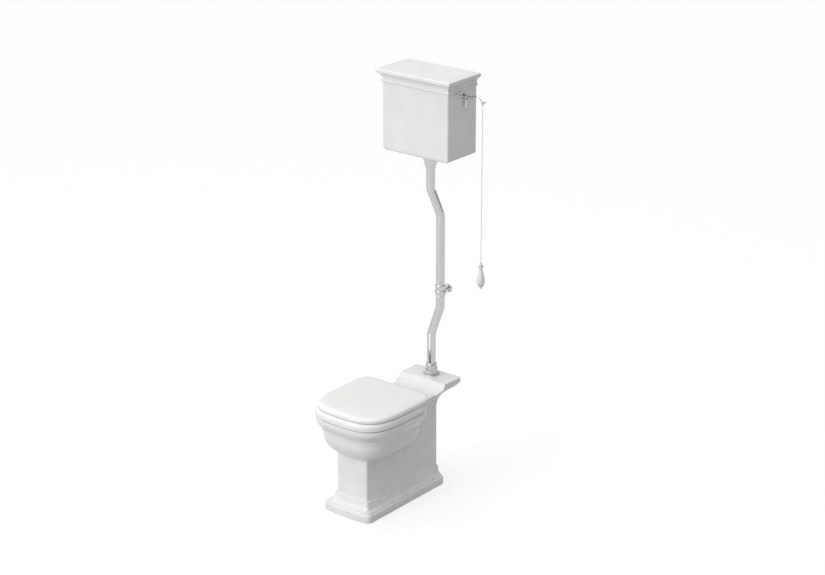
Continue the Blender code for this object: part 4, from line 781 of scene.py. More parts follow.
def deck_step():
    """What is cut away above the rim and the deck: its rear edge leaves a riser, a tread and an ogee."""
    tread = RIM_TOP + 0.30 * (PLATFORM_TOP - RIM_TOP)
    clear_y, clear_z = FOOT_FRONT_Y - 0.2, PLATFORM_TOP + 0.03
    foot = eased(
        [(clear_y, RIM_TOP, 0), (-0.0230, RIM_TOP, 0.004), (-0.0165, tread, 0.004), (0.002, tread, 0)], 6
    )
    outline = foot[:-1]
    for share in (i / 20 for i in range(21)):
        outline.append((0.002 + 0.018 * share, tread + (PLATFORM_TOP - tread) * smooth_step(share)))
    outline += [(0.020, clear_z), (clear_y, clear_z)]
    return loft("deck_step", [[Vector((x, y, z)) for y, z in outline] for x in (-0.4, 0.4)])


def mouth_rings(wall=0.0):
    """Outlines of the bowl's inside from the water outlet up through the mouth, larger by wall."""
    lip = RIM_TOP - 0.034
    rounding = bpy.context.scene.toilet_sizes.lip_rounding
    levels = [
        (RIM_TOP - 0.245, 0.27, 0.055),
        (RIM_TOP - 0.225, 0.40, 0.052),
        (RIM_TOP - 0.185, 0.59, 0.040),
        (RIM_TOP - 0.140, 0.775, 0.024),
        (RIM_TOP - 0.090, 0.93, 0.010),
        (RIM_TOP - 0.060, 1.02, 0.002),
        (lip - 0.012, 1.055, 0.0),
        (lip - 0.002, 1.055, 0.0),
        (lip, 1.04, 0.0),
        (lip + 0.002, 1.0, 0.0),
    ]
    shifts = flowing([(z, shift) for z, size, shift in levels[:6]], 4)
    sizes = flowing([(z, size) for z, size, shift in levels[:6]], 4)
    sections = [(z, size, shift, 0.0) for (z, size), (_, shift) in zip(sizes, shifts)]
    sections += [(z, size, shift, 0.0) for z, size, shift in levels[6:]]
    if wall:
        sections.append((RIM_TOP - 0.004, 1.0, 0.0, 0.0))
    else:
        flare = [(
            RIM_TOP - rounding * cos(t) + 0.0002, 1.0, 0.0, rounding * (1 - sin(t))
        ) for t in quarter(8)[::-1]]
        sections += [(z, size, shift, out) for z, size, shift, out in flare]
        sections.append((RIM_TOP + 0.02, 1.0, 0.0, rounding + 0.004))
        sections.sort()
    rings = []
    for z, size, shift, out in sections:
        reach = MOUTH_LENGTH * size + wall + out
        z = z - wall if wall and z < RIM_TOP - 0.22 else z
        rings.append(
            superellipse(z, MOUTH_Y + shift, MOUTH_HALF * size + wall + out, reach, reach, (2.3, 2.3), 96)
        )
    return rings


def trap_path():
    """From inside the bowl down through its outlet, up over the weir, and down to the spigot's height."""
    corners = (
        (0, MOUTH_Y + 0.032, 0.290),
        (0, MOUTH_Y + 0.065, 0.110),
        (0, HEEL_Y - 0.127, 0.275),
        (0, HEEL_Y - 0.060, 0.180),
        (0, HEEL_Y - 0.005, 0.180),
    )
    return rounded_path(corners, 0.045, 10)


def flushing_path():
    """From the socket under the inlet, down and forwards into the space under the rim."""
    socket_y = middle("inlet_seal").y
    return (
        (0, socket_y + 0.006, PLATFORM_TOP - 0.022),
        (0, -0.027, RIM_TOP - 0.022),
        (0, MOUTH_Y + MOUTH_LENGTH - 0.004, RIM_TOP - 0.043),
    )


def pedestal_hollow():
    """The space inside the foot and the column, open to the floor and, low down, to the rear."""
    foot = 0.125 - WALL, FOOT_FRONT_Y + WALL, HEEL_Y - 0.030
    column = COLUMN_HALF - WALL, COLUMN_FRONT_Y + WALL
    rings = [
        rectangle(-0.01, *foot),
        rectangle(0.030, *foot),
        rectangle(0.078, *column, HEEL_Y - 0.026),
        rectangle(0.108, *column, HEEL_Y - WALL),
        rectangle(RIM_TOP - 0.016, *column, HEEL_Y - WALL),
    ]
    return loft("pedestal_hollow", rings)


def build_pan():
    pan = pedestal()
    join(pan, loft("bowl_form", bowl_rings()))
    cut(pan, deck_step())
    cut(pan, pedestal_hollow(), loft("bowl_hollow", bowl_hollow_rings()))
    outlet, inlet = (0, 0, 0.180), (0, middle("inlet_seal").y, 0)
    spigot_end = HEEL_Y + 0.033
    spigot = eased(
        [(0, HEEL_Y - 0.040, 0), (0.051, HEEL_Y - 0.040, 0), (0.051, spigot_end, 0.003), (0, spigot_end, 0)]
    )
    join(
        pan,
        loft("bowl_lining", mouth_rings(0.010)),
        swept("trap_lining", trap_path(), 0.036, steps=32),
        turned("spigot", spigot, outlet, "Y"),
        swept("flushing_lining", flushing_path()[1:], 0.018, steps=24),
    )
    bore = [(0, HEEL_Y - 0.031), (0.042, HEEL_Y - 0.031), (0.042, spigot_end + 0.02), (0, spigot_end + 0.02)]
    socket_foot, clear = PLATFORM_TOP - 0.024, PLATFORM_TOP + 0.02
    socket = [(0, socket_foot), (0.0245, socket_foot), (0.0245, clear), (0, clear)]
    cut(
        pan,
        loft("bowl_inside", mouth_rings()),
        swept("trap_inside", trap_path(), 0.028, steps=32),
        turned("spigot_bore", bore, outlet, "Y"),
        swept("flushing_inside", flushing_path(), 0.011, steps=24),
        turned("inlet_socket", socket, inlet),
    )
    for side in ("left", "right"):
        hinge, screw = middle(f"hinge_post_{side}"), middle(f"floor_screw_cap_{side}")
        holes = (
            ("hinge_hole", 0.0068, RIM_TOP - 0.064, RIM_TOP + 0.02, hinge),
            ("screw_hole", 0.0035, -0.01, 0.1, screw),
            ("screw_seat", high(f"floor_screw_cap_{side}").x - screw.x + 0.0004, 0.025, 0.1, screw),
        )
        for name, radius, foot, head, place in holes:
            profile = [(0, foot), (radius, foot), (radius, head), (0, head)]
            cut(pan, turned(f"{name}_{side}", profile, (place.x, place.y, 0), steps=32))
    place_piece(settle(pan), "white_china", "fixed", "pan")


def build_floor_caps():
    """The snap caps over the floor screws: a low dome with a soft edge."""
    for side in ("left", "right"):
        node = f"floor_screw_cap_{side}"
        foot, head, place = low(node).z, high(node).z, middle(node)
        rim = high(node).x - place.x
        profile = [(0, foot), (rim, foot), (rim, 0.0332)]
        profile += [(rim * cos(turn), 0.0332 + (head - 0.0332) * sin(turn)) for turn in quarter(10)[1:]]
        cap = turned(f"{node}_finished", profile[:-1] + [(0, head)], (place.x, place.y, 0))
        place_piece(cap, "white_plastic", "fixed", node)


# ------------------------------------------------------------------ seat, cover and hinge


def seat_outline(z, inset):
    rear = HINGE_Y - 0.001 - RIM_Y
    return superellipse(
        z, RIM_Y, SEAT_HALF - inset, SEAT_FRONT - inset, rear - min(inset, 0.006), (3.4, 5.0)
    )


def seat_opening(z, inset):
    return superellipse(z, -0.352, 0.108 + inset, 0.134 + inset, 0.134 + inset, (2.3, 2.3))


def side_by_side(first, second):
    return min(first, second), max(first, second)


def rod_hole(name):
    profile = [(0, -0.2), (0.0038, -0.2), (0.0038, 0.2), (0, 0.2)]
    return turned(name, profile, (0, HINGE_Y, HINGE_Z), "X", 32)


def add_knuckles(target, outward, web_low, web_high, web_front):
    """Two barrels round the hinge rod, outside the posts or between them, each on a web from the target."""
    for side, sign in (("left", -1), ("right", 1)):
        first, last = side_by_side(sign * (HINGE_X + outward * 0.009), sign * (HINGE_X + outward * 0.021))
        corners = [(0, first, 0), (0.009, first, 0.0012), (0.009, last, 0.0012), (0, last, 0)]
        barrel = turned(f"{target.name}_barrel_{side}", eased(corners), (0, HINGE_Y, HINGE_Z), "X")
        ends = (first + 0.0004, web_front, web_low), (last - 0.0004, HINGE_Y + 0.0045, web_high)
        join(target, block(f"{target.name}_web_{side}", *ends), barrel)


def cut_seat_clearance(seat, bottom, top):
    """Notches in the seat's rear edge, one round each post and the cover's knuckle beside it."""
    for side, sign in (("left", -1), ("right", 1)):
        near, far = side_by_side(sign * (HINGE_X - 0.009), sign * (HINGE_X + 0.022))
        notch = (near, HINGE_Y - 0.017, bottom - 0.01), (far, HINGE_Y + 0.03, top + 0.01)
        near, far = side_by_side(sign * (HINGE_X - 0.023), sign * (HINGE_X - 0.008))
        relief = (near, HINGE_Y - 0.0112, bottom - 0.01), (far, HINGE_Y + 0.03, top + 0.01)
        cut(seat, block(f"seat_notch_{side}", *notch), block(f"seat_relief_{side}", *relief))


def pockets(target, buffers, height):
    """Shallow seats for the buffers."""
    for node in buffers:
        place, radius = middle(node), high(node).x - middle(node).x + GAP
        profile = [(0, height - 0.02), (radius, height - 0.02), (radius, height), (0, height)]
        cut(target, turned(f"{node}_pocket", profile, (place.x, place.y, 0), steps=32))


def build_seat():
    bottom, top = RIM_TOP + 0.004, RIM_TOP + 0.034
    outside = ((0.0060, 0.0), (0.0022, 0.0005), (0.0004, 0.0026), (0.0, 0.0090), (0.0006, 0.0165))
    outside += ((0.0030, 0.0235), (0.0085, 0.0282), (0.0160, 0.0300))
    inside = ((0.0190, 0.0296), (0.0100, 0.0280), (0.0028, 0.0225), (0.0, 0.0140), (0.0010, 0.0060))
    inside += ((0.0040, 0.0012), (0.0085, 0.0))
    rings = [seat_outline(min(top, bottom + rise), inset) for inset, rise in flowing(outside)]
    rings += [seat_opening(max(bottom, bottom + rise), inset) for inset, rise in flowing(inside)]
    seat = loft("seat_finished", rings, closed=True)
    cut_seat_clearance(seat, bottom, top)
    add_knuckles(seat, -1, HINGE_Z - 0.0045, HINGE_Z + 0.0045, HINGE_Y - 0.018)
    cut(seat, rod_hole("seat_rod_hole"))
    buffers = [f"seat_buffer_{place}" for place in ("front_left", "front_right", "rear_left", "rear_right")]
    pockets(seat, buffers, bottom + 0.003)
    place_piece(settle(seat), "seat_resin", "seat", "seat")
    for node in buffers:
        refined(node, "buffer_rubber", "seat")


def cover_outline(z, inset):
    size = SEAT_HALF - 0.005 - inset, SEAT_FRONT - 0.014 - inset, HINGE_Y + 0.007 - RIM_Y - 0.5 * inset
    return superellipse(z, RIM_Y, *size, (3.4, 8.0))


def build_cover():
    bottom = RIM_TOP + 0.0366
    edge = ((0.0050, 0.0), (0.0016, 0.0005), (0.0002, 0.0022), (0.0, 0.0060), (0.0008, 0.0105))
    edge += ((0.0034, 0.0148), (0.0080, 0.0180), (0.0140, 0.0200), (0.0240, 0.0215), (0.0420, 0.0222))
    edge += ((0.0700, 0.0225), (0.1100, 0.0225))
    rings = [cover_outline(bottom + min(rise, 0.0225), inset) for inset, rise in flowing(edge)]
    cover = loft("cover_finished", rings)
    add_knuckles(cover, 1, HINGE_Z, bottom + 0.004, HINGE_Y - 0.006)
    cut(cover, rod_hole("cover_rod_hole"))
    buffers = ("cover_buffer_left", "cover_buffer_right")
    pockets(cover, buffers, bottom + 0.002)
    place_piece(settle(cover), "seat_resin", "cover", "cover")
    for node in buffers:
        refined(node, "buffer_rubber", "cover")


def build_hinge():
    """The rod and its two posts, each a turned foot under a round eye."""
    reach = high("hinge_rod").x
    rod = eased([(0, -reach, 0), (0.0035, -reach, 0.001), (0.0035, reach, 0.001), (0, reach, 0)])
    made = turned("hinge_rod_finished", rod, (0, HINGE_Y, HINGE_Z), "X", 32)
    place_piece(made, "chrome", "fixed", "hinge_rod")
    base = [(0, RIM_TOP + GAP, 0), (0.0135, RIM_TOP + GAP, 0.0004), (0.0135, RIM_TOP + 0.0027, 0.0008)]
    base += [(0.0105, RIM_TOP + 0.0045, 0.002), (0.0070, RIM_TOP + 0.0065, 0.002), (0.0065, HINGE_Z, 0)]
    eye = eased([(0, -0.008, 0), (0.0092, -0.008, 0.0014), (0.0092, 0.008, 0.0014), (0, 0.008, 0)])
    for side, sign in (("left", -1), ("right", 1)):
        x = sign * HINGE_X
        post = turned(f"hinge_post_{side}_finished", eased(base) + [(0, HINGE_Z)], (x, HINGE_Y, 0))
        join(post, turned(f"post_eye_{side}", eye, (x, HINGE_Y, HINGE_Z), "X"))
        cut(post, rod_hole(f"post_bore_{side}"))
        place_piece(settle(post), "chrome", "fixed", f"hinge_post_{side}")
        refined(f"hinge_bolt_{side}", "chrome", "fixed", 0)
        refined(f"hinge_bush_{side}", "black_rubber", "fixed", 0)


# ------------------------------------------------------------------ flush pipe


def lower_pipe_path():
    """Up from the pan's socket, over by an S bend, and straight up to the collar."""
    foot, clip = middle("inlet_flange"), middle("slip_collar")
    corners = (
        (foot.x, foot.y, low("flush_pipe_lower").z),
        (foot.x, foot.y, 0.650),
        (clip.x, clip.y, 0.769),
        (clip.x, clip.y, high("flush_pipe_lower").z),
    )
    return rounded_path(corners, 0.075)


def upper_pipe_path():
    """Straight up from the collar, back under the cistern's outlet by an S bend, and into the union."""
    clip, head = middle("slip_collar"), middle("union_nut")
    corners = (
        (clip.x, clip.y, low("flush_pipe_upper").z),
        (clip.x, clip.y, TANK_BOTTOM - 0.284),
        (head.x, head.y, TANK_BOTTOM - 0.163),
        (head.x, head.y, high("flush_pipe_upper").z),
    )
    return rounded_path(corners, 0.075)


def build_pipe():
    """Both lengths of pipe, and the collar that joins them, finely beaded at each end."""
    lower = swept("flush_pipe_lower_finished", lower_pipe_path(), PIPE_RADIUS, PIPE_RADIUS - 0.0012, 64)
    place_piece(lower, "chrome", "fixed", "flush_pipe_lower")
    upper = swept("flush_pipe_upper_finished", upper_pipe_path(), PIPE_RADIUS, PIPE_RADIUS - 0.0012, 64)
    place_piece(upper, "chrome", "fixed", "flush_pipe_upper")
    bore, outer, half = PIPE_RADIUS + GAP, PIPE_RADIUS + 0.0022, 0.025
    upper_half = [(outer, 0, 0), (outer, half - 0.0042, 0)]
    bead = [(outer + 0.0006 * sin(pi * i / 12), half - 0.004 + 0.004 * i / 12) for i in range(13)]
    side = eased(upper_half + [(outer, half - 0.004, 0)]) + bead[1:]
    mirrored = [(radius, -height) for radius, height in reversed(side[1:])]
    profile = [(bore, -half), *mirrored, *side, (bore, half), (bore, -half)]
    collar = turned("slip_collar_finished", profile, middle("slip_collar"), steps=64)
    place_piece(collar, "chrome", "fixed", "slip_collar")


def build_inlet():
    """Where the pipe enters the pan: a stepped flange, and a tapering union nut with six flats."""
    place, bore = middle("inlet_flange"), PIPE_RADIUS + GAP
    foot, top, edge = low("inlet_flange").z, high("inlet_flange").z, high("inlet_flange").x
    corners = [(bore, foot, 0), (edge, foot, 0.0003), (edge, foot + 0.0022, 0.0008)]
    corners += [(edge - 0.0022, top - 0.0012, 0.0012), (PIPE_RADIUS + 0.0095, top, 0.001), (bore, top, 0)]
    flange = turned("inlet_flange_finished", ring_profile(corners), (place.x, place.y, 0), steps=64)
    place_piece(flange, "chrome", "fixed", "inlet_flange")
    foot, head = low("inlet_nut").z, high("inlet_nut").z
    flats = (PIPE_RADIUS + 0.00675) / cos(pi / 6)
    shoulder = foot + 0.62 * (head - foot)
    corners = [(bore, foot, 0), (flats * 0.955, foot, 0.001), (flats, foot + 0.003, 0.002)]
    corners += [(flats, shoulder - 0.004, 0.003), (flats * 0.90, shoulder, 0.002)]
    corners += [
        (PIPE_RADIUS + 0.0042, head - 0.004, 0.003), (PIPE_RADIUS + 0.0036, head, 0.0006), (bore, head, 0)
    ]
    nut = turned("inlet_nut_finished", ring_profile(corners), (place.x, place.y, 0), steps=96)
    hexagon = [(0, foot - 0.01), (flats, foot - 0.01), (flats, head + 0.01), (0, head + 0.01)]
    combine(nut, "INTERSECT", [turned("nut_flats", hexagon, (place.x, place.y, 0), steps=6, sharp=10)])
    place_piece(settle(nut, sharp=20), "chrome", "fixed", "inlet_nut")
    refined("inlet_seal", "black_rubber", "fixed", 0)


def build_clip():
    """A split ring round the collar with a screwed lug, on a stem from a domed wall rosette."""
    z, (x, y, _) = middle("pipe_clip").z, middle("slip_collar")
    inner = PIPE_RADIUS + 0.0022 + GAP
    outer = inner + 0.0022
    corners = [(inner, -0.006, 0), (outer, -0.006, 0.0008), (outer, 0.006, 0.0008), (inner, 0.006, 0)]
    ring = turned("pipe_clip_finished", ring_profile(corners), (x, y, z), steps=64)
    lug = (x + inner + 0.001, y - 0.0035, z - 0.005), (x + inner + 0.010, y + 0.0035, z + 0.005)
    hole = [(0, -0.01), (0.0019, -0.01), (0.0019, 0.01), (0, 0.01)]
    join(ring, block("clip_lug", *lug, 0.001))
    cut(ring, turned("clip_hole", hole, (x + inner + 0.006, y, z), "Y", 24))
    place_piece(settle(ring), "chrome", "fixed", "pipe_clip")
    refined("clip_screw", "chrome", "fixed", 0.0003)
    first, last = low("clip_stem").y, high("clip_stem").y
    stem = turned(
        "clip_stem_finished", [(0, first), (0.005, first), (0.005, last), (0, last)], (x, 0, z), "Y"
    )
    place_piece(stem, "chrome", "fixed", "clip_stem")
    seat = low("wall_rosette").y
    dome = [
        (0, seat, 0),
        (0.0056, seat, 0.0006),
        (0.0056, WALL_Y - 0.0092, 0.0008),
        (0.0105, WALL_Y - 0.0086, 0.004),
    ]
    dome += [
        (0.0166, WALL_Y - 0.0060, 0.006),
        (0.0200, WALL_Y - 0.0026, 0.002),
        (0.0200, WALL_Y, 0),
        (0, WALL_Y, 0),
    ]
    rosette = turned("wall_rosette_finished", eased(dome), (x, 0, z), "Y", 64)
    place_piece(rosette, "chrome", "fixed", "wall_rosette")


# ------------------------------------------------------------------ cistern


def build_cistern():
    """The tank, its corners and lower edges rounded, its inside open to the top, with its three holes."""
    sizes = bpy.context.scene.toilet_sizes
    outside = []
    for turn in quarter(10):
        inset = sizes.tank_foot * (1 - sin(turn))
        z = TANK_BOTTOM + sizes.tank_foot * (1 - cos(turn))
        outside.append(
            rectangle(z, TANK_HALF - inset, TANK_FRONT_Y + inset * 0.4, WALL_Y, sizes.tank_corner, 10)
        )
    for rise in (0.10, 0.20):
        outside.append(rectangle(TANK_BOTTOM + rise, TANK_HALF, TANK_FRONT_Y, WALL_Y, sizes.tank_corner, 10))
    outside.append(rectangle(TANK_TOP - GAP, TANK_HALF, TANK_FRONT_Y, WALL_Y, sizes.tank_corner, 10))
    body = loft("cistern_body_finished", outside)
    inside = []
    for turn in quarter(6):
        inset, rise = TANK_WALL + 0.008 * (1 - sin(turn)), TANK_WALL + 0.008 * (1 - cos(turn))
        inside.append(
            rectangle(TANK_BOTTOM + rise, TANK_HALF - inset, TANK_FRONT_Y + inset, WALL_Y - inset, 0.008)
        )
    inset = TANK_WALL
    inside.append(rectangle(TANK_TOP + 0.02, TANK_HALF - inset, TANK_FRONT_Y + inset, WALL_Y - inset, 0.008))
    cut(body, loft("cistern_inside", inside))
    floor = TANK_BOTTOM + TANK_WALL
    outlet = [
        (0, TANK_BOTTOM - 0.01), (0.0265, TANK_BOTTOM - 0.01), (0.0265, floor + 0.01), (0, floor + 0.01)
    ]
    inlet = [
        (0, -TANK_HALF - 0.01), (0.011, -TANK_HALF - 0.01), (0.011, -TANK_HALF + 0.02), (0, -TANK_HALF + 0.02)
    ]
    valve = middle("inlet_back_nut")
    slot = (
        TANK_HALF - 0.02, LEVER_Y - 0.007, FULCRUM.z - 0.006
    ), (TANK_HALF + 0.01, LEVER_Y + 0.007, FULCRUM.z + 0.014)
    cut(
        body,
        turned("outlet_hole", outlet, (0, OUTLET_Y, 0)),
        turned("inlet_hole", inlet, (0, valve.y, valve.z), "X", 32),
        block("lever_slot", *slot),
    )
    hole = [(0, WALL_Y - 0.02), (0.0045, WALL_Y - 0.02), (0.0045, WALL_Y + 0.01), (0, WALL_Y + 0.01)]
    for side in ("left", "right"):
        screw = middle(f"wall_screw_{side}")
        cut(body, turned(f"wall_hole_{side}", hole, (screw.x, 0, screw.z), "Y", 24))
    place_piece(settle(body), "white_china", "fixed", "cistern_body")


def cornice_profile(height, overhang):
    """Rise over the tank and how far the moulding stands out: bead, quirk, cove, fillet and fascia."""
    bead = [(0.0, 0.0030)]
    bead += [(0.0045 - 0.0045 * cos(pi * i / 12), 0.003 + 0.003 * sin(pi * i / 12)) for i in range(1, 12)]
    quirk = eased([(0.0090, 0.0028, 0), (0.0095, 0.0020, 0.0004), (0.0125, 0.0020, 0)], 3)
    rise, out = height - 0.0305, overhang - 0.006
    cove = [(0.0125 + rise * sin(turn), 0.002 + out * (1 - cos(turn))) for turn in quarter(18)[1:]]
    fillet = 0.0125 + rise + 0.003
    fascia = eased(
        [
            (fillet - 0.0028, overhang - 0.0036, 0),
            (fillet, overhang - 0.0035, 0.0004),
            (fillet + 0.0002, overhang, 0.0012),
            (height, overhang, 0.0034),
            (height, overhang - 0.012, 0),
        ],
        7,
    )
    return bead + quirk + cove + fascia


def build_lid():
    """A lid with a cornice all round but for its back, which stays flat against the wall."""
    lip = TANK_WALL + 0.0012
    height, overhang = high("cistern_lid").z - TANK_TOP, high("cistern_lid").x - TANK_HALF

    def ring(z, out):
        return rectangle(z, TANK_HALF + out, TANK_FRONT_Y - out, WALL_Y + min(0.0, out), 0.0045, 8)

    rings = [ring(low("cistern_lid").z, -lip), ring(TANK_TOP - 0.0001, -lip)]
    rings += [ring(TANK_TOP + rise, out) for rise, out in cornice_profile(height, overhang)]
    lid = loft("cistern_lid_finished", rings)
    inner = lip + 0.006
    hollow = [ring(TANK_TOP - 0.02, -inner)]
    for turn in quarter(6):
        hollow.append(ring(TANK_TOP + height - 0.015 + 0.006 * sin(turn), -inner - 0.006 * (1 - cos(turn))))
    cut(lid, loft("lid_inside", hollow))
    place_piece(settle(lid), "white_china", "lid", "cistern_lid")


def build_union():
    """The flared union from the siphon's tail to the pipe: a plain cup over a sweeping taper."""
    top, foot, tail_end = high("union_nut").z, low("union_nut").z, TANK_BOTTOM - 0.046
    grip, bore, cup = 0.0253, PIPE_RADIUS + GAP, 0.031
    corners = [
        (grip, top, 0), (cup, top, 0.0014), (cup, top - 0.0150, 0.0010), (cup - 0.0014, top - 0.0165, 0.0008)
    ]
    corners += [(cup - 0.0018, top - 0.0220, 0.004), (PIPE_RADIUS + 0.0075, top - 0.0335, 0.008)]
    corners += [
        (PIPE_RADIUS + 0.0030, foot + 0.0110, 0.008), (PIPE_RADIUS + 0.0026, foot, 0.0008), (bore, foot, 0)
    ]
    corners += [(bore, tail_end - 0.006, 0), (grip, tail_end - 0.002, 0)]
    union = turned("union_nut_finished", ring_profile(corners, 7), (0, OUTLET_Y, 0), steps=64)
    place_piece(union, "chrome", "fixed", "union_nut")
    refined("siphon_back_nut", "white_plastic", "fixed", 0.0008)


# ------------------------------------------------------------------ lever, chain and handle


def lever_path():
    """From over the plunger, through the slot, up over the fulcrum and out to a hook and a curled tip."""
    x, z = FULCRUM.x, FULCRUM.z
    corners = (
        (0.052, z - 0.006),
        (0.102, z - 0.006),
        (x - 0.030, z + 0.002),
        (x, z + 0.001),
        (x + 0.0255, z + 0.004),
        (x + 0.0595, z + 0.013),
        (x + 0.0714, z - 0.001),
        (x + 0.0833, z - 0.014),
        (x + 0.0952, z - 0.007),
    )
    return rounded_path([(across, LEVER_Y, up) for across, up in corners], 0.020, 10)


def build_lever():
    """The bar, its round eye on the fulcrum and the ball at its tip."""
    place, path = FULCRUM, lever_path()
    lever = swept("pull_lever_finished", path, 0.0036, steps=28)
    eye = eased([(0, -0.0045, 0), (0.0068, -0.0045, 0.001), (0.0068, 0.0045, 0.001), (0, 0.0045, 0)])
    ball = [(0.0052 * sin(pi * i / 20), -0.0052 * cos(pi * i / 20)) for i in range(1, 20)]
    join(
        lever,
        turned("lever_eye", eye, place, "Y"),
        turned("lever_knob", [(0, -0.0052), *ball, (0, 0.0052)], path[-1]),
    )
    hole = [(0, -0.02), (0.0028, -0.02), (0.0028, 0.02), (0, 0.02)]
    cut(lever, turned("fulcrum_hole", hole, place, "Y", 32))
    place_piece(settle(lever), "chrome", "lever", "pull_lever")


def build_bracket():
    """A plate on the cistern's side with a fork for the lever, a turned post under it and a stay."""
    (x, y, z), face = FULCRUM, low("lever_bracket").x
    inner, outer = face + 0.001, x + 0.006
    plate = block(
        "lever_bracket_finished", (face, y - 0.011, z - 0.047), (face + 0.0028, y + 0.011, z - 0.008), 0.0012
    )
    for side, sign in (("front", -1), ("rear", 1)):
        near, far = side_by_side(y + sign * 0.0052, y + sign * 0.0088)
        join(plate, block(f"cheek_{side}", (inner, near, z - 0.014), (outer, far, z + 0.0065), 0.0014))
    post = [(0, z - 0.046, 0), (0.0034, z - 0.0456, 0.001), (0.0048, z - 0.0430, 0.002)]
    post += [
        (0.0048, z - 0.0200, 0.001), (0.0036, z - 0.0180, 0.001), (0.0036, z - 0.012, 0), (0, z - 0.012, 0)
    ]
    near = x - 0.0035
    stay = (near, y - 0.007, z + 0.001), (near, y - 0.024, z + 0.008), (face + 0.0032, y - 0.062, z + 0.021)
    join(
        plate,
        block("bridge", (inner, y - 0.007, z - 0.0165), (outer, y + 0.007, z - 0.0105)),
        turned("bracket_post", eased(post), (x, y, 0)),
        swept("stay", rounded_path(stay, 0.02, 8), 0.0030, steps=24),
    )
    hole = [(0, -0.03), (0.0028, -0.03), (0.0028, 0.03), (0, 0.03)]
    cut(plate, turned("bracket_bore", hole, (x, y, z), "Y", 32))
    place_piece(settle(plate), "chrome", "fixed", "lever_bracket")
    refined("fulcrum_pin", "chrome", "fixed", 0.0004)


def wire_ring(node, radius, wire, axis):
    """A round ring of wire whose hole faces along the axis."""
    profile = [(radius + wire * cos(tau * i / 14), wire * sin(tau * i / 14)) for i in range(14)]
    made = turned(f"{node}_finished", profile + profile[:1], middle(node), axis, 40)
    return place_piece(made, "chrome", body_of(node), node)


def chain_tree():
    """Nodes that hang oval links between two heights, every second one turned a quarter about the chain.

    The links' sizes come worked out, so the tree only places them and gives them their shape."""
    tree = bpy.data.node_groups.new("chain_links", "GeometryNodeTree")
    tree.interface.new_socket("Geometry", in_out="OUTPUT", socket_type="NodeSocketGeometry")
    for name in ("First link", "Last link"):
        tree.interface.new_socket(name, in_out="INPUT", socket_type="NodeSocketVector")
    tree.interface.new_socket("Links", in_out="INPUT", socket_type="NodeSocketInt")
    for name in ("Width between wires", "Length between wires", "Corner radius", "Wire radius"):
        tree.interface.new_socket(name, in_out="INPUT", socket_type="NodeSocketFloat")
    tree.interface.new_socket("Finish", in_out="INPUT", socket_type="NodeSocketMaterial")
    given = add(tree, "NodeGroupInput").outputs
    ends = {"Count": given["Links"], "Start Location": given["First link"], "Offset": given["Last link"]}
    places = add(tree, "GeometryNodeMeshLine", ends, mode="END_POINTS")
    sides = {"Width": given["Width between wires"], "Height": given["Length between wires"]}
    oblong = add(tree, "GeometryNodeCurvePrimitiveQuadrilateral", sides)
    corner = {"Curve": oblong, "Radius": given["Corner radius"], "Count": 3, "Limit Radius": True}
    oval = add(tree, "GeometryNodeFilletCurve", corner, mode="POLY")
    section = add(tree, "GeometryNodeCurvePrimitiveCircle", {"Resolution": 6, "Radius": given["Wire radius"]})
    link = add(tree, "GeometryNodeCurveToMesh", {"Curve": oval, "Profile Curve": section})
    upright = add(tree, "GeometryNodeTransform", {"Geometry": link, "Rotation": (pi / 2, 0, 0)})
    index = add(tree, "GeometryNodeInputIndex")
    second = add(tree, "ShaderNodeMath", {0: index, 1: 2.0}, operation="MODULO")
    turn = add(tree, "ShaderNodeMath", {0: second, 1: pi / 2}, operation="MULTIPLY")
    facing = add(tree, "ShaderNodeCombineXYZ", {"Z": turn})
    placed = {"Points": places, "Instance": upright, "Rotation": facing}
    real = add(
        tree, "GeometryNodeRealizeInstances", {"Geometry": add(tree, "GeometryNodeInstanceOnPoints", placed)}
    )
    smooth = add(tree, "GeometryNodeSetShadeSmooth", {"Geometry": real})
    shown = add(tree, "GeometryNodeSetMaterial", {"Geometry": smooth, "Material": given["Finish"]})
    add(tree, "NodeGroupOutput", {"Geometry": shown})
    return tree


def build_chain(going_with):
    """The hanging chain, as real links that run on into the ferrule, with its ring and its shackle."""
    sizes = bpy.context.scene.toilet_sizes
    top, foot = middle("pull_chain"), low("handle_ferrule").z
    top.z = high("pull_chain").z
    made = bpy.data.objects.new("pull_chain_links", bpy.data.meshes.new("pull_chain_links"))
    bpy.context.scene.collection.objects.link(made)
    tree = chain_tree()
    modifier = made.modifiers.new("links", "NODES")
    modifier.node_group = tree
    half = Vector((0, 0, sizes.link_length / 2))
    pitch = sizes.link_length - LINK_OVERLAP * sizes.link_wire
    across = sizes.link_width - sizes.link_wire
    values = {
        "First link": top - half,
        "Last link": (top.x, top.y, foot + half.z),
        "Links": round((top.z - foot - sizes.link_length) / pitch) + 1,
        "Width between wires": across,
        "Length between wires": sizes.link_length - sizes.link_wire,
        "Corner radius": across * LINK_ROUNDNESS,
        "Wire radius": sizes.link_wire / 2,
        "Finish": finish("chrome"),
    }
    for item in tree.interface.items_tree:
        if item.in_out == "INPUT":
            modifier[item.identifier] = values[item.name]
    settle(made, 0.0, 60)
    if not made.data.polygons:
        raise RuntimeError("the chain came out without links")
    place_piece(made, "chrome", "chain", "pull_chain")
    wire_ring("chain_ring", 0.0078, 0.0012, "X")
    wire_ring("chain_shackle", 0.0042, 0.0010, "Y")


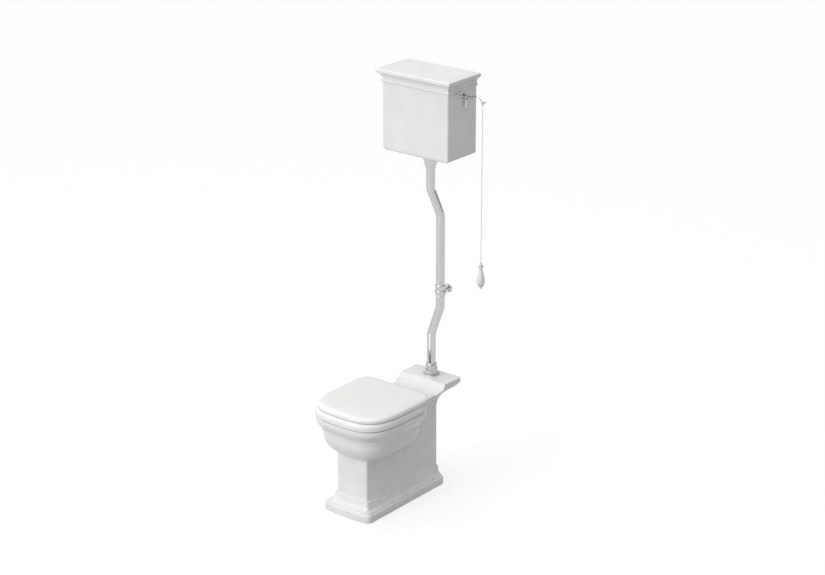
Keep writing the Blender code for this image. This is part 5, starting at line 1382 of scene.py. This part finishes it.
def build_handle():
    """A china pear between the chrome ferrule that the chain enters and a chrome finial."""
    place = middle("pull_handle")
    at = (place.x, place.y, 0)
    foot, head = low("handle_ferrule").z, high("handle_ferrule").z
    corners = [
        (0, foot, 0), (0.0108, foot, 0.0006), (0.0108, foot + 0.0028, 0.0008), (0.0090, foot + 0.0050, 0.002)
    ]
    corners += [
        (0.0044, head - 0.0080, 0.003), (0.0033, head - 0.0056, 0.0008), (0.0046, head - 0.0042, 0.001)
    ]
    corners += [(0.0046, head - 0.0015, 0.0012), (0.0030, head, 0.0006), (0, head, 0)]
    ferrule = turned("handle_ferrule_finished", eased(corners), at)
    foot, head = low("pull_handle").z, high("pull_handle").z
    rise, swollen, waist = head - foot - 0.012, 0.0165, 0.0078
    pear = [(0.0, foot), (0.0098, foot), (0.0112, foot + 0.0004), (0.0125, foot + 0.002)]
    for share in (i / 28 for i in range(1, 28)):
        swell = max(0.0, sin(pi * min(1.0, share**0.62 * 1.02))) ** 1.2
        radius = waist + (swollen - waist) * swell + 0.0035 * (1 - share) ** 3
        pear.append((radius, foot + 0.002 + rise * share))
    neck = [(0.0080, head - 0.0085, 0), (0.0079, head - 0.0060, 0.002), (0.0095, head - 0.0025, 0.001)]
    neck += [(0.0095, head, 0.0006), (0, head, 0)]
    handle = turned("pull_handle_finished", pear + eased(neck), at, sharp=40)
    cap, tip = high("handle_finial").z, low("handle_finial").z
    corners = [
        (0, tip, 0), (0.0040, tip, 0.0008), (0.0062, tip + 0.0038, 0.002), (0.0050, tip + 0.0066, 0.001)
    ]
    corners += [
        (0.0086, tip + 0.0080, 0.002), (0.0116, tip + 0.0110, 0.002), (0.0112, cap, 0.0006), (0, cap, 0)
    ]
    finial = turned("handle_finial_finished", eased(corners), at)
    return [
        place_piece(ferrule, "chrome", "chain", "handle_ferrule"),
        place_piece(handle, "white_china", "chain", "pull_handle"),
        place_piece(finial, "chrome", "chain", "handle_finial"),
    ]


# ------------------------------------------------------------------ inside the cistern


INSIDE = {
    "brass": (
        "floor_screw_left", "floor_screw_right", "siphon_plunger", "lift_link", "float_arm", "float_pin"
    ),
    "black_rubber": ("siphon_washer", "inlet_washer", "wall_screw_washer_left", "wall_screw_washer_right"),
    "white_plastic": ("inlet_back_nut", "fill_tube"),
    "chrome": ("wall_screw_left", "wall_screw_right"),
}


def build_inside():
    """The siphon, the filling valve and the fixings, their machined edges rounded, and a smooth float."""
    for slot, nodes in INSIDE.items():
        for node in nodes:
            refined(node, slot, body_of(node), 0.0002)
    refined("inlet_valve", "brass", "fixed", 0)
    refined("siphon_body", "white_plastic", "fixed", 0)
    refined("valve_piston", "black_rubber", "piston", 0)
    place, radius = middle("float_ball"), 0.037
    ball = [(radius * sin(pi * i / 40), -radius * cos(pi * i / 40)) for i in range(1, 40)]
    seam = [(r + 0.0004 * (abs(z) < 0.0016), z) for r, z in ball]
    made = turned("float_ball_finished", [(0, -radius), *seam, (0, radius)], place, steps=64)
    place_piece(made, "white_plastic", "float", "float_ball")


# ------------------------------------------------------------------ studio


def area_light(name, place, target, size, power):
    light = bpy.data.lights.new(name, "AREA")
    light.shape = "SQUARE"
    light.size = size
    light.energy = power
    made = bpy.data.objects.new(name, light)
    made.location = place
    made.rotation_euler = (Vector(target) - Vector(place)).to_track_quat("-Z", "Y").to_euler()
    bpy.context.scene.collection.objects.link(made)
    return made


def sheet_object(name, corners):
    """A flat four-cornered sheet."""
    mesh = bpy.data.meshes.new(name)
    mesh.from_pydata(corners, [], [(0, 1, 2, 3)])
    made = bpy.data.objects.new(name, mesh)
    bpy.context.scene.collection.objects.link(made)
    made.data.materials.append(finish("studio"))
    return made


def build_studio():
    """A long-lens camera, a pale floor, a front softbox, an overhead softbox and an even surround."""
    scene, studio = bpy.context.scene, bpy.context.scene.toilet_studio
    camera = bpy.data.cameras.new("camera")
    camera.lens = studio.lens
    camera.sensor_width = 36.0
    camera.clip_end = 200.0
    held = bpy.data.objects.new("camera", camera)
    held.location = CAMERA_PLACE
    held.rotation_euler = CAMERA_TURN
    scene.collection.objects.link(held)
    scene.camera = held
    around = ((-1, -1), (1, -1), (1, 1), (-1, 1))
    sheet_object("studio_floor", [(x * FLOOR_REACH, y * FLOOR_REACH, -0.0005) for x, y in around])
    area_light("key", (-1.2, -5.2, 2.8), (0, -0.1, 0.9), 2.2, studio.key_power)
    area_light("top", (-0.2, 0.0, 3.4), (0, 0, 1.8), 1.2, studio.top_power)
    world = bpy.data.worlds.new("studio")
    world.use_nodes = True
    tree = world.node_tree
    tree.nodes.clear()
    facing = {0: add(tree, "ShaderNodeTexCoord").outputs["Generated"], 1: (-0.50, -0.60, 0.62)}
    towards = add(tree, "ShaderNodeVectorMath", facing, operation="DOT_PRODUCT").outputs["Value"]
    around = {"Value": towards, "From Min": -0.6, "From Max": 0.9}
    around["To Min"], around["To Max"] = studio.dark_side, studio.bright_side
    surround = {"Color": (1, 1, 1, 1), "Strength": add(tree, "ShaderNodeMapRange", around)}
    add(tree, "ShaderNodeOutputWorld", {"Surface": add(tree, "ShaderNodeBackground", surround)})
    scene.world = world
    scene.view_settings.view_transform = "Standard"


# ------------------------------------------------------------------ operators and panel


class TOILET_OT_studio(bpy.types.Operator):
    """Set up the camera, the floor and the light"""

    bl_idname = "toilet.studio"
    bl_label = "Studio"

    def execute(self, context):
        build_studio()
        return {"FINISHED"}


class TOILET_OT_pull(bpy.types.Operator):
    """Build the chain of links, its ring and shackle, and the china pull"""

    bl_idname = "toilet.pull"
    bl_label = "Chain and Pull"

    def execute(self, context):
        build_chain(build_handle())
        return {"FINISHED"}


class TOILET_OT_pan(bpy.types.Operator):
    """Build the china pan and the caps over its floor screws"""

    bl_idname = "toilet.pan"
    bl_label = "Pan"

    def execute(self, context):
        build_pan()
        build_floor_caps()
        return {"FINISHED"}


class TOILET_OT_seat(bpy.types.Operator):
    """Build the seat, its cover and their hinge"""

    bl_idname = "toilet.seat"
    bl_label = "Seat and Cover"

    def execute(self, context):
        build_seat()
        build_cover()
        build_hinge()
        return {"FINISHED"}


class TOILET_OT_pipe(bpy.types.Operator):
    """Build the flush pipe with its collar, clip, inlet fitting and union"""

    bl_idname = "toilet.pipe"
    bl_label = "Flush Pipe"

    def execute(self, context):
        build_pipe()
        build_inlet()
        build_clip()
        build_union()
        return {"FINISHED"}


class TOILET_OT_cistern(bpy.types.Operator):
    """Build the china cistern and its lid"""

    bl_idname = "toilet.cistern"
    bl_label = "Cistern and Lid"

    def execute(self, context):
        build_cistern()
        build_lid()
        return {"FINISHED"}


class TOILET_OT_lever(bpy.types.Operator):
    """Build the lever and its bracket"""

    bl_idname = "toilet.lever"
    bl_label = "Lever"

    def execute(self, context):
        build_lever()
        build_bracket()
        return {"FINISHED"}


class TOILET_OT_inside(bpy.types.Operator):
    """Finish the siphon, the valve, the float and the fixings"""

    bl_idname = "toilet.inside"
    bl_label = "Inside the Cistern"

    def execute(self, context):
        build_inside()
        return {"FINISHED"}


OPERATORS = (
    TOILET_OT_studio,
    TOILET_OT_pull,
    TOILET_OT_pan,
    TOILET_OT_seat,
    TOILET_OT_pipe,
    TOILET_OT_cistern,
    TOILET_OT_lever,
    TOILET_OT_inside,
)


class TOILET_PT_panel(bpy.types.Panel):
    """Sizes, colours and light, and a button for each group of pieces"""

    bl_idname = "TOILET_PT_panel"
    bl_label = "High Level Toilet"
    bl_space_type = "VIEW_3D"
    bl_region_type = "UI"
    bl_category = "Toilet"

    def draw(self, context):
        scene = context.scene
        for title, group in (
            ("Sizes", scene.toilet_sizes),
            ("Colours", scene.toilet_colours),
            ("Studio", scene.toilet_studio),
        ):
            box = self.layout.box()
            box.label(text=title)
            for name in group.__annotations__:
                box.prop(group, name)
        for operator in OPERATORS:
            self.layout.operator(operator.bl_idname)


GROUPS = {"toilet_sizes": ToiletSizes, "toilet_colours": ToiletColours, "toilet_studio": ToiletStudio}
CLASSES = (*GROUPS.values(), *OPERATORS, TOILET_PT_panel)


def register():
    for made in CLASSES:
        bpy.utils.register_class(made)
    for name, group in GROUPS.items():
        setattr(bpy.types.Scene, name, PointerProperty(type=group))


def unregister():
    for name in GROUPS:
        delattr(bpy.types.Scene, name)
    for made in reversed(CLASSES):
        bpy.utils.unregister_class(made)


def main():
    register()
    tools = bpy.ops.toilet
    for build in (
        tools.studio, tools.pull, tools.pan, tools.seat, tools.pipe, tools.cistern, tools.lever, tools.inside
    ):
        build()


if __name__ == "__main__":
    main()
